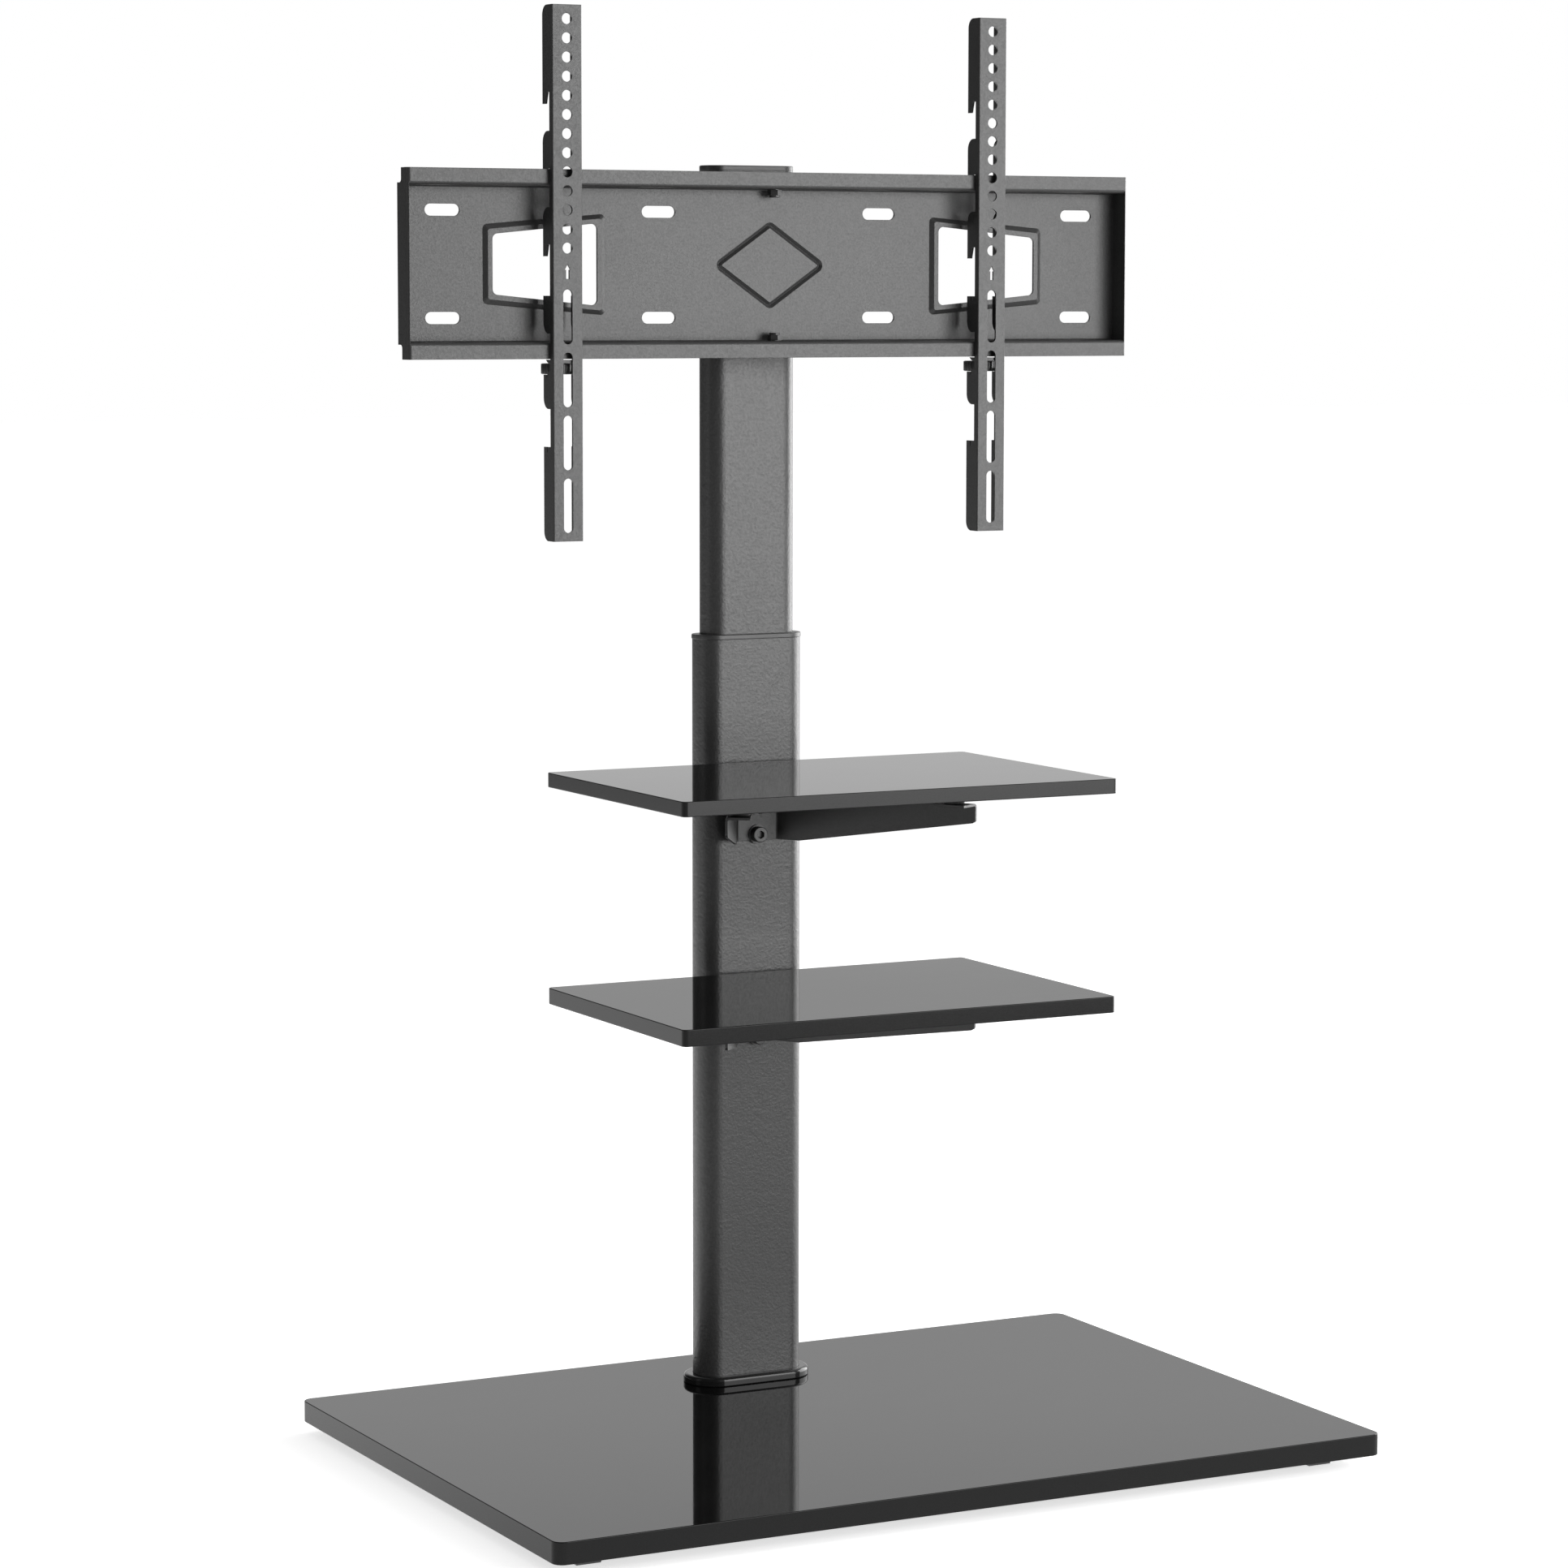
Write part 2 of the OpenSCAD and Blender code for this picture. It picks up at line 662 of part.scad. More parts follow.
shelf_y = column_front - shelf_gap - shelf_d / 2;
shelf_tops = [upper_shelf_z, lower_shelf_z];
shelf_thicknesses = [upper_shelf_t, lower_shelf_t];
pad_heights = [upper_pad_h, lower_pad_h];
bracket_washer_d = 16;
bracket_washer_t = 1.2;
bracket_head_d = 13;
bracket_head_h = 6;
wing_bend_r = 2;
tip_corner_r = 3;
countersink_share = 0.8;
shelf_bite_share = 0.7;
shelf_screw_d = 4;
shelf_screw_head_h = bracket_t * countersink_share;
shelf_screw_head_d = shelf_screw_d + 2 * shelf_screw_head_h;
pad_edge = 0.3;
rear_pad_edge = 2;
rear_tab_len = shelf_gap + pad_d + 2 * rear_pad_edge;

// Top of the tabs that carry a shelf's pads: shelf 0 is the upper one, shelf 1 the lower one
function tab_top(i) = shelf_tops[i] - shelf_thicknesses[i] - pad_heights[i];
function bracket_low(i) = tab_top(i) - bracket_h;

module at_bracket_bolts() {
    for (i = [0, 1], up = [0, 1])
        translate([0, 0, bracket_low(i) + bracket_bolt_up + up * bracket_bolt_pitch]) children();
}

// A wing's own frame: x along the wing from its root, y across towards the middle
module on_wing(side) {
    mirror([side > 0 ? 0 : 1, 0, 0])
        translate([bracket_w / 2, column_front - bracket_t / 2, 0])
            rotate([0, 0, wing_angle - 90]) mirror([0, 1, 0]) children();
}

// Places of the three pads in plan: two on the wing tabs, one by the column
module at_pads() {
    for (side = [-1, 1]) on_wing(side)
        translate([wing_len - tab_len / 2, tab_w - bracket_t / 2 - pad_edge - pad_d / 2, 0]) children();
    translate([0, column_front - shelf_gap - rear_pad_edge - pad_d / 2, 0]) children();
}

module wing_cut(low) {
    slope_top = low + bracket_h - wing_tip_h;
    translate([0, tab_w, 0]) rotate([90, 0, 0]) linear_extrude(2 * tab_w) {
        polygon([[wing_level, low], [wing_len, slope_top], [wing_len + cut, slope_top],
            [wing_len + cut, low - cut], [wing_level, low - cut]]);
        translate([wing_len - tip_corner_r, slope_top + tip_corner_r]) mirror([0, 1]) difference() {
            square(tip_corner_r + cut);
            circle(tip_corner_r);
        }
    }
}

// Seat of a flush screw head: the screw's own hole, widened to a cone at the lower face
module screw_seat() {
    translate([0, 0, -cut]) {
        cylinder(h = bracket_t + 2 * cut, d = shelf_screw_d + 2 * screw_play);
        cylinder(h = shelf_screw_head_h + cut, d1 = shelf_screw_head_d + 2 * (screw_play + cut),
            d2 = shelf_screw_d + 2 * screw_play);
    }
}

module shelf_bracket(i) {
    low = bracket_low(i);
    top = tab_top(i);
    tip = [sin(wing_angle), -cos(wing_angle)] * wing_len;
    root = [bracket_w / 2, column_front - bracket_t / 2];
    flip = [[-1, 0], [0, 1]];
    color([0.13, 0.13, 0.13]) difference() {
        union() {
            translate([0, 0, low]) linear_extrude(bracket_h - bracket_t - bend_r)
                bent_sheet([flip * (root + tip), flip * root, root, root + tip], bracket_t, wing_bend_r);
            translate([0, 0, low]) linear_extrude(bracket_h) intersection() {
                bent_sheet([flip * (root + tip), flip * root, root, root + tip], bracket_t, wing_bend_r);
                translate([-base_w / 2, root[1] - (wing_len - tab_len) * cos(wing_angle)])
                    square([base_w, base_w]);
            }
            for (side = [-1, 1]) on_wing(side)
                translate([wing_len - tab_len, 0, 0]) rotate([90, 0, 90]) linear_extrude(tab_len)
                    bent_sheet([[0, top - bracket_t - bend_r - cut], [0, top - bracket_t / 2],
                        [tab_w - bracket_t / 2, top - bracket_t / 2]], bracket_t, bend_r);
            along_x(bracket_w - 2 * wing_bend_r - bracket_t)
                bent_sheet([[root[1], top - bracket_t - bend_r - cut], [root[1], top - bracket_t / 2],
                    [column_front - rear_tab_len, top - bracket_t / 2]], bracket_t, bend_r);
        }
        for (side = [-1, 1]) on_wing(side) wing_cut(low);
        at_bracket_bolts() translate([0, column_front - bracket_t - cut, 0]) rotate([-90, 0, 0])
            cylinder(h = bracket_t + 2 * cut, d = bracket_bolt_d + 2 * screw_play);
        at_pads() translate([0, 0, top - bracket_t]) screw_seat();
    }
}

module shelf(i) {
    t = shelf_thicknesses[i];
    low = shelf_tops[i] - t;
    color([0.3, 0.3, 0.31]) difference() {
        translate([0, shelf_y, low])
            soft_slab(shelf_w, shelf_d, shelf_corner_r, t, board_edge, board_edge);
        at_pads() translate([0, 0, low - cut])
            cylinder(h = t * shelf_bite_share + screw_play + cut, d = shelf_screw_d + 2 * screw_play);
    }
}

module shelf_pads() {
    color([0.04, 0.04, 0.04]) for (i = [0, 1]) at_pads()
        translate([0, 0, tab_top(i)]) rotate_extrude() difference() {
            slab_section(pad_d / 2, pad_heights[i], mould_round, mould_round);
            square([shelf_screw_d / 2 + screw_play, pad_heights[i]]);
        }
}

module shelf_screws() {
    color([0.35, 0.35, 0.36]) for (i = [0, 1]) at_pads()
        translate([0, 0, tab_top(i) - bracket_t]) difference() {
            union() {
                cylinder(h = shelf_screw_head_h, d1 = shelf_screw_head_d, d2 = shelf_screw_d);
                cylinder(h = bracket_t + pad_heights[i] + shelf_thicknesses[i] * shelf_bite_share,
                    d = shelf_screw_d);
            }
            translate([0, 0, -cut]) hex(shelf_screw_d * 0.6, shelf_screw_head_h * 0.7 + cut);
        }
}

// Cap screw lying along +Y, its head's seat at the origin
module cap_screw(d, head_d, head_h, shank) {
    rotate([-90, 0, 0]) {
        translate([0, 0, -head_h]) difference() {
            rotate_extrude() translate([0, head_h]) mirror([0, 1])
                slab_section(head_d / 2, head_h, head_h * 0.12, 0);
            translate([0, 0, -cut]) hex(head_d * 0.46, head_h * 0.6 + cut);
        }
        cylinder(h = shank, d = d);
    }
}

// Blind rivet nut lying along +Y, set flush in a wall whose face is at the origin
module rivet_nut(d, wall) {
    rotate([-90, 0, 0]) difference() {
        union() {
            cylinder(h = rivet_len, d = rivet_body(d));
            translate([0, 0, wall]) cylinder(h = rivet_bulge_t, d = rivet_bulge(d));
        }
        translate([0, 0, -cut]) cylinder(h = rivet_len + 2 * cut, d = d + 2 * screw_play);
    }
}

module bracket_bolts() {
    seat = bracket_t + bracket_washer_t;
    color([0.16, 0.16, 0.16]) at_bracket_bolts() translate([0, column_front - seat, 0])
        cap_screw(bracket_bolt_d, bracket_head_d, bracket_head_h, seat + rivet_len);
}

module bracket_washers() {
    color([0.14, 0.14, 0.14]) at_bracket_bolts()
        translate([0, column_front - bracket_t, 0]) rotate([90, 0, 0]) difference() {
            cylinder(h = bracket_washer_t, d = bracket_washer_d);
            translate([0, 0, -cut])
                cylinder(h = bracket_washer_t + 2 * cut, d = bracket_bolt_d + 2 * screw_play);
        }
}

module bracket_rivet_nuts() {
    color([0.6, 0.58, 0.5]) at_bracket_bolts() translate([0, column_front, 0])
        rivet_nut(bracket_bolt_d, outer_wall);
}

// Head bracket and swivel

head_screw_d = 6;
head_screw_head_d = 11;
head_screw_head_h = 3.3;
head_screw_x = head_w * 0.3;
head_screw_rise = 78;
head_screw_len = 13;
pivot_play = 0.25;
pivot_head_d = 10.5;
pivot_head_h = 3.3;
nut_af = 10;
nut_hex_h = 4.6;
nut_crown_d = 8.8;
nut_crown_h = 1.8;
washer_d = 12;
washer_t = 1;
tongue_low = channel_bottom - plate_t - pivot_play - washer_t - head_t;
tongue_high = channel_top + plate_t + pivot_play + washer_t + head_t;

module at_head_screws() {
    for (sx = [-1, 1], sz = [-1, 1])
        translate([sx * head_screw_x, 0, plate_mid + sz * head_screw_rise / 2]) children();
}

// The two pivots, each drawn upwards from the outer face of its tongue
module at_pivots() {
    translate([0, pivot_y, tongue_high]) mirror([0, 0, 1]) children();
    translate([0, pivot_y, tongue_low]) children();
}

// Seen from above, both tongues narrow from the column to the pivot
module head_plan() {
    translate([0, pivot_y]) circle(tongue_r);
    polygon([[-tongue_r, pivot_y], [tongue_r, pivot_y], [head_w / 2, inner_front - head_t],
        [head_w / 2, inner_front], [-head_w / 2, inner_front], [-head_w / 2, inner_front - head_t]]);
}

module head_bracket() {
    nose = pivot_y - 2 * tongue_r;
    web = inner_front - head_t;
    low = tongue_low;
    high = tongue_high;
    color([0.17, 0.17, 0.17]) difference() {
        intersection() {
            along_x(head_w) difference() {
                round_outline(box_points(nose, inner_front, low, high), head_t + bend_r);
                round_outline(box_points(nose - cut, web, low + head_t, high - head_t), bend_r);
            }
            translate([0, 0, low - cut]) linear_extrude(high - low + 2 * cut) head_plan();
        }
        at_pivots() translate([0, 0, -cut])
            cylinder(h = head_t + 2 * cut, d = pivot_bolt_d + 2 * screw_play);
        at_head_screws() translate([0, web - cut, 0]) rotate([-90, 0, 0])
            cylinder(h = head_t + 2 * cut, d = head_screw_d + 2 * screw_play);
    }
}

module head_screws() {
    color([0.3, 0.3, 0.31]) at_head_screws() translate([0, inner_front - head_t, 0])
        cap_screw(head_screw_d, head_screw_head_d, head_screw_head_h, head_screw_len);
}

module head_rivet_nuts() {
    color([0.6, 0.58, 0.5]) at_head_screws() translate([0, inner_front, 0])
        rivet_nut(head_screw_d, inner_wall);
}

module pivot_bolts() {
    shank = head_t + washer_t + 2 * pivot_play + plate_t + nut_hex_h + nut_crown_h;
    color([0.5, 0.5, 0.51]) at_pivots() {
        translate([0, 0, -pivot_head_h]) difference() {
            cylinder(h = pivot_head_h, d = pivot_head_d);
            translate([0, 0, -cut]) hex(pivot_head_d * 0.4, pivot_head_h * 0.6 + cut);
        }
        cylinder(h = shank, d = pivot_bolt_d);
    }
}

module pivot_washers() {
    color([0.55, 0.55, 0.56]) at_pivots() translate([0, 0, head_t]) difference() {
        cylinder(h = washer_t, d = washer_d);
        translate([0, 0, -cut]) cylinder(h = washer_t + 2 * cut, d = pivot_bolt_d + 2 * screw_play);
    }
}

module pivot_nuts() {
    color([0.35, 0.35, 0.36]) at_pivots()
        translate([0, 0, head_t + washer_t + 2 * pivot_play + plate_t]) difference() {
            union() {
                intersection() {
                    hex(nut_af, nut_hex_h);
                    rotate_extrude() slab_section(nut_af / cos(30) / 2, nut_hex_h, mould_round / 2, 0);
                }
                rotate_extrude()
                    slab_section(nut_crown_d / 2, nut_hex_h + nut_crown_h, mould_round / 2, 0);
            }
            translate([0, 0, -cut])
                cylinder(h = nut_hex_h + nut_crown_h + 2 * cut, d = pivot_bolt_d + 2 * screw_play);
        }
}

// Television plate

ear_fillet = 3;
plate_corner_r = plate_t + bend_r;
window_slope = 3.8;
window_corner_r = 4;
window_hole_r = 4.5;
window_tall_z = window_tall / 2;
window_short_z = window_short / 2;
groove_mid_w = (diamond_w - groove_w) / 2;
groove_mid_h = (diamond_h - groove_w) / 2;
groove_slope = atan2(groove_mid_h, groove_mid_w);
groove_turn_r = groove_w / 2 + 0.8;
groove_overlap = 0.02;
bead_d = groove_d - plate_t / 4;

// Ends of the plate, seen from the side: deep between the flanges, ears beside the lips
module end_outline() {
    translate([0, plate_bottom]) square([ear_d, plate_h]);
    translate([0, channel_bottom - plate_t])
        square([channel_d, channel_top - channel_bottom + 2 * plate_t]);
    for (up = [0, 1]) translate([0, up * 2 * plate_mid]) mirror([0, up])
        translate([ear_d, channel_bottom - plate_t - ear_fillet]) difference() {
            square(ear_fillet);
            translate([ear_fillet, 0]) circle(ear_fillet);
        }
}

// A window's outline: tall next to the diamond, lower towards the plate's end, drawn in x and z
module window_outline(inset, r) {
    x0 = window_near + inset;
    x1 = window_far - inset;
    z0 = window_tall_z - inset;
    z1 = window_short_z - inset;
    round_outline([[x0, -z0], [x1, -z1], [x1, z1], [x0, z0]], r);
}

// The raised frame as a solid, its face window_raise in front of the panel
module window_boss() {
    hull() {
        along_y(plate_t) window_outline(0, window_corner_r, $fn = 32);
        translate([0, -window_raise, 0]) along_y(plate_t)
            window_outline(window_slope, window_corner_r - window_slope / 2, $fn = 32);
    }
}

module at_windows() {
    for (sx = [0, 1]) mirror([sx, 0, 0]) translate([0, panel_deep, plate_mid]) children();
}

// The diamond's outline, out mm outside the middle of its groove
module diamond_outline(out) {
    w = groove_mid_w + out / sin(groove_slope);
    h = groove_mid_h + out / cos(groove_slope);
    round_outline([[w, 0], [0, h], [-w, 0], [0, -h]], groove_turn_r + out);
}

module diamond_bead() {
    difference() {
        diamond_outline(groove_w / 2);
        diamond_outline(-groove_w / 2);
    }
}

// V-shaped cut from point a to point b of the x, z plane, pointing to +Y
module groove_run(a, b) {
    span = b - a;
    half = groove_w / 2;
    translate([a[0], 0, a[1]]) rotate([0, -atan2(span[1], span[0]), 0]) rotate([90, 0, 90])
        linear_extrude(norm(span))
            polygon([[-cut, -half], [-cut, half], [0, half], [groove_d, 0], [0, -half]]);
}

// The same cut carried round a corner on +X, turning by spread degrees each way
module groove_bend(corner, spread) {
    r = groove_turn_r;
    half = groove_w / 2;
    translate([corner - r / cos(spread), 0, 0]) rotate([-90, 0, 0]) rotate(-spread)
        rotate_extrude(angle = 2 * spread)
            polygon([[r - half, -cut], [r + half, -cut], [r + half, 0], [r, groove_d], [r - half, 0]]);
}

module diamond_groove() {
    along = [-cos(groove_slope), sin(groove_slope)];
    from_side = groove_turn_r * tan(90 - groove_slope) - groove_overlap;
    from_tip = groove_turn_r * tan(groove_slope) - groove_overlap;
    for (sx = [0, 1], sz = [0, 1]) mirror([sx, 0, 0]) mirror([0, 0, sz])
        groove_run([groove_mid_w, 0] + along * from_side, [0, groove_mid_h] - along * from_tip);
    for (sx = [0, 1]) mirror([sx, 0, 0]) groove_bend(groove_mid_w, 90 - groove_slope);
    for (sz = [0, 1]) mirror([0, 0, sz]) rotate([0, -90, 0]) groove_bend(groove_mid_h, groove_slope);
}

module wall_slots() {
    for (x = [wall_slot_near, wall_slot_far], sx = [-1, 1], sz = [-1, 1])
        translate([sx * x, plate_mid + sz * wall_slot_rise / 2])
            round_rect(wall_slot_len, wall_slot_w, wall_slot_w / 2);
}

// The plate with its lips' front in y = 0
module plate_body() {
    lip = plate_t / 2;
    panel = panel_deep + plate_t / 2;
    high = channel_top + plate_t / 2;
    low = channel_bottom - plate_t / 2;
    intersection() {
        union() {
            along_x(plate_w) bent_sheet([[lip, plate_top], [lip, high], [panel, high],
                [panel, low], [lip, low], [lip, plate_bottom]], plate_t, bend_r);
            for (sx = [-1, 1]) translate([sx * (plate_w - plate_t) / 2, 0, 0])
                along_x(plate_t) end_outline();
        }
        translate([0, channel_d / 2, plate_bottom]) linear_extrude(plate_h)
            round_rect(plate_w, channel_d, plate_corner_r);
    }
    at_windows() window_boss();
    translate([0, channel_d, plate_mid]) along_y(bead_d) diamond_bead();
}

module tv_plate() {
    color([0.22, 0.22, 0.22]) translate([0, lip_front, 0]) difference() {
        plate_body();
        at_windows() {
            translate([0, plate_t, 0]) window_boss();
            translate([0, -window_raise - cut, 0]) along_y(plate_t + 2 * cut)
                window_outline(window_slope + window_rim, window_hole_r);
        }
        translate([0, panel_deep, plate_mid]) diamond_groove();
        translate([0, panel_deep - cut, 0]) along_y(plate_t + 2 * cut) wall_slots();
        translate([0, pivot_back, plate_bottom]) cylinder(h = plate_h, d = pivot_bolt_d + 2 * run);
    }
}

// Arms

arm_fold_r = 1;
hook_slack = 2.4;
hook_slot_w = plate_t + run + hook_slack;
hook_mouth_w = hook_slot_w * 1.6;
lug_r = 9;
arm_end_r = 8;
slit_w = 1.2;
slit_deep = 4.6;
slit_back = 11.3;
nib_d = 14;
nib_h = 3.3;
nib_gap = 0.6;
wheel_play = 0.3;
bridge_t = 2.5;
bridge_gap = 0.8;
bridge_top = plate_bottom - bridge_gap;
wheel_top = bridge_top - bridge_t - wheel_play;
wheel_low = wheel_top - wheel_h;
arrow_w = 4.8;
arrow_len = 11.6;
arrow_shaft_w = 2.8;
arrow_head_len = 4.4;

// Lug on a flange from z = low to z = high, its rear corners rounded as given
module lug(low, high, r_low, r_high) {
    difference() {
        translate([0, low]) square([arm_d, high - low]);
        if (r_high > 0) translate([arm_d - r_high, high - r_high]) difference() {
            square(r_high + cut);
            circle(r_high);
        }
        if (r_low > 0) translate([arm_d - r_low, low + r_low]) mirror([0, 1]) difference() {
            square(r_low + cut);
            circle(r_low);
        }
    }
}

// Hooked lug: its slot opens downwards so that it drops over the lip
module hook_lug(seat, high, r_high) {
    low = seat - hook_deep;
    difference() {
        lug(low, high, 0, r_high);
        polygon([[web_d, low - cut], [web_d, seat], [web_d + hook_slot_w, seat],
            [web_d + hook_mouth_w, low], [web_d + hook_mouth_w, low - cut]]);
    }
}

// Lower lug: a slit from its top parts off a rear strip, which can end lower
module slit_lug(low, high, r_low, strip_high) {
    difference() {
        lug(low, high, r_low, 0);
        translate([slit_back, high - slit_deep]) square([slit_w, slit_deep + cut]);
        translate([slit_back + slit_w / 2, strip_high]) square([arm_d, high - strip_high + cut]);
    }
}

// Small nose on each flange that reaches under the plate's lower lip
module nib() {
    top = plate_bottom - nib_gap;
    reach = nib_d - web_d;
    r = (reach * reach + nib_h * nib_h) / (2 * nib_h);
    intersection() {
        translate([0, top - nib_h]) square([nib_d, nib_h]);
        translate([web_d, top + r - nib_h]) circle(r);
    }
}

// An arm's outline from the side: x is the distance behind the arm's face, y is z
module arm_side() {
    translate([0, arm_bottom]) square([web_d, arm_len]);
    for (i = [0:2]) {
        seat = arm_top - hook_first - i * hook_pitch;
        hook_lug(seat, i == 0 ? arm_top : seat + hook_rise, i == 0 ? arm_end_r : lug_r);
    }
    for (i = [0:2]) {
        high = arm_top - lower_first - i * hook_pitch;
        slit_lug(i == 2 ? arm_bottom : high - lower_h, high, i == 2 ? arm_end_r : lug_r,
            i == 1 ? wheel_low - wheel_play : high);
    }
    nib();
}

module arm_cuts() {
    for (i = [0:arm_holes - 1])
        translate([0, arm_top - arm_margin - arm_hole_d / 2 - i * arm_hole_pitch]) circle(d = arm_hole_d);
    for (i = [0:3])
        translate([0, arm_bottom + arm_margin + arm_slot_len / 2 + i * arm_slot_pitch])
            round_rect(arm_slot_w, arm_slot_len, arm_slot_w / 2);
}

// Arrow that shows which end of an arm goes up
module arm_arrow() {
    last_hole = arm_top - arm_margin - arm_hole_d - (arm_holes - 1) * arm_hole_pitch;
    first_slot = arm_bottom + arm_margin + arm_slot_len + 3 * arm_slot_pitch;
    translate([0, (last_hole + first_slot) / 2 - arrow_len / 2]) {
        translate([-arrow_shaft_w / 2, 0]) square([arrow_shaft_w, arrow_len - arrow_head_len / 2]);
        translate([0, arrow_len - arrow_head_len])
            polygon([[-arrow_w / 2, 0], [arrow_w / 2, 0], [0, arrow_head_len]]);
    }
}

module arm(side) {
    half = arm_w / 2;
    rear = arm_face + 2 * arm_d;
    color([0.22, 0.22, 0.22]) translate([side * arm_x, 0, 0]) difference() {
        intersection() {
            translate([0, 0, arm_bottom]) linear_extrude(arm_len) difference() {
                round_outline(box_points(-half, half, arm_face, rear), arm_fold_r);
                round_outline(box_points(arm_t - half, half - arm_t, arm_face + arm_t, rear + cut),
                    arm_fold_r / 2);
            }
            translate([0, arm_face, 0]) along_x(arm_w + 2 * cut) arm_side();
        }
        translate([0, arm_face - cut, 0]) along_y(arm_t + 2 * cut) {
            arm_cuts();
            arm_arrow();
        }
    }
}

// Arm locks

tongue_w = 12;
tongue_over = 5;
pin_sunk = 2;
pin_proud = 0.4;
wheel_edge = 0.8;
rib_share = 0.55;

module at_pin(side) {
    translate([side * arm_x, pin_y, 0]) children();
}

module lock_bridge(side) {
    wide = arm_w - 2 * arm_t;
    start = arm_face + arm_t;
    color([0.2, 0.2, 0.2]) difference() {
        translate([side * arm_x, 0, bridge_top - bridge_t]) linear_extrude(bridge_t) {
            translate([0, start + (nib_d - arm_t) / 2]) round_rect(wide, nib_d - arm_t, bend_r + run);
            translate([-tongue_w / 2, start]) square([tongue_w, pin_y - start]);
            translate([0, pin_y]) round_rect(tongue_w, 2 * tongue_over, tongue_over);
        }
        at_pin(side) translate([0, 0, wheel_top])
            cylinder(h = bridge_gap + bridge_t + wheel_play, d = pin_d + 2 * screw_play);
    }
}

module lock_wheel(side) {
    core_r = wheel_d / 2 - wheel_rib_h;
    rib_r = PI * core_r / wheel_ribs * rib_share;
    rib_inset = 1.5 * wheel_edge;
    color([0.06, 0.06, 0.06]) at_pin(side) translate([0, 0, wheel_low]) difference() {
        union() {
            rotate_extrude() slab_section(core_r, wheel_h, wheel_edge, wheel_edge);
            for (i = [0:wheel_ribs - 1]) rotate((i + 0.5) * 360 / wheel_ribs)
                translate([wheel_d / 2 - rib_r, 0, rib_inset])
                    cylinder(h = wheel_h - 2 * rib_inset, r = rib_r);
        }
        translate([0, 0, -cut]) cylinder(h = wheel_h + 2 * cut, d = pin_d + 2 * screw_play);
    }
}

module lock_pin(side) {
    low = wheel_low + pin_sunk;
    top = bridge_top + pin_proud + pin_travel;
    color([0.6, 0.6, 0.61]) at_pin(side) translate([0, 0, low]) rotate_extrude()
        slab_section(pin_d / 2, top - low, mould_round / 2, mould_round / 2);
}

base_board();
base_feet();
foot_screws();
base_stiffener();
base_bolts();
column_end_plate();
outer_column();
foot_collar();
column_bushing();
clamp_bolts();
clamp_nut_bar();
inner_column();
inner_glide();
column_cap();
shelf(0);  // shelf_upper
shelf(1);  // shelf_lower
shelf_bracket(0);  // shelf_bracket_upper
shelf_bracket(1);  // shelf_bracket_lower
shelf_pads();
shelf_screws();
bracket_bolts();
bracket_washers();
bracket_rivet_nuts();
head_bracket();
head_screws();
head_rivet_nuts();
pivot_bolts();
pivot_nuts();
pivot_washers();
tv_plate();
arm(-1);  // arm_left
arm(1);  // arm_right
lock_bridge(-1);  // lock_bridge_left
lock_bridge(1);  // lock_bridge_right
lock_wheel(-1);  // lock_wheel_left
lock_wheel(1);  // lock_wheel_right
lock_pin(-1);  // lock_pin_left
lock_pin(1);  // lock_pin_right
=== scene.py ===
# %% [markdown]
# # A television stand with a swivelling, hooked mount
#
# The object is a black floor stand: a board base on four low feet, an oval column that telescopes, two
# thin shelves on folded brackets, and a pressed plate with two hooked arms that carry the screen.
# Its construction is already solved and packed as plain solids. This file gives those solids their
# finishes, makes the few pieces whose small shapes a plain solid can't show, and sets up a studio to
# look at the whole. Every length is in metres, and +Z is up.

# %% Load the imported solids
import bpy
import bmesh
import json
import math
from mathutils import Matrix, Vector


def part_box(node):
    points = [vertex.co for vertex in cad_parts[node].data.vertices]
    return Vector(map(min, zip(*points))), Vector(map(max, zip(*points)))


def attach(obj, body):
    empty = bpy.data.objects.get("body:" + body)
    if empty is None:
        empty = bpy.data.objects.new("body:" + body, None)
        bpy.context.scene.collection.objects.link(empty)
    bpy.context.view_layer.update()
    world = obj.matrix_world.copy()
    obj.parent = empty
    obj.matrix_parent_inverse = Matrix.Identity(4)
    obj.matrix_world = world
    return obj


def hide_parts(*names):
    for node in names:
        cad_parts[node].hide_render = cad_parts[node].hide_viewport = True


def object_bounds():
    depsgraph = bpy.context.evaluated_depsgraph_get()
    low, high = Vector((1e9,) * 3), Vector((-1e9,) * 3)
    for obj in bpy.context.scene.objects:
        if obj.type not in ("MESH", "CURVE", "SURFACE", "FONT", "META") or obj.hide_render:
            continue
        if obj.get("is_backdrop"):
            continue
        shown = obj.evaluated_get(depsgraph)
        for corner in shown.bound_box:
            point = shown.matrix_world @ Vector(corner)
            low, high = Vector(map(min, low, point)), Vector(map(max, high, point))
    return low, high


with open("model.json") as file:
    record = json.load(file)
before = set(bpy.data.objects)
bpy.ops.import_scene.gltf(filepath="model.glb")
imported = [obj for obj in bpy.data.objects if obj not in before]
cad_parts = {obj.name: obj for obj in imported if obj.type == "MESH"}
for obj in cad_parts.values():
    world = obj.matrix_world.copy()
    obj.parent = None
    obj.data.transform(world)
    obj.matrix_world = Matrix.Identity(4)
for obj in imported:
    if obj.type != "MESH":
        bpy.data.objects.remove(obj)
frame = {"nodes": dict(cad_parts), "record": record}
solid_low, solid_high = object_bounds()
solids = frame["nodes"]
MM = 0.001
print("box of the solids:", [round(v, 4) for v in solid_low], [round(v, 4) for v in solid_high])

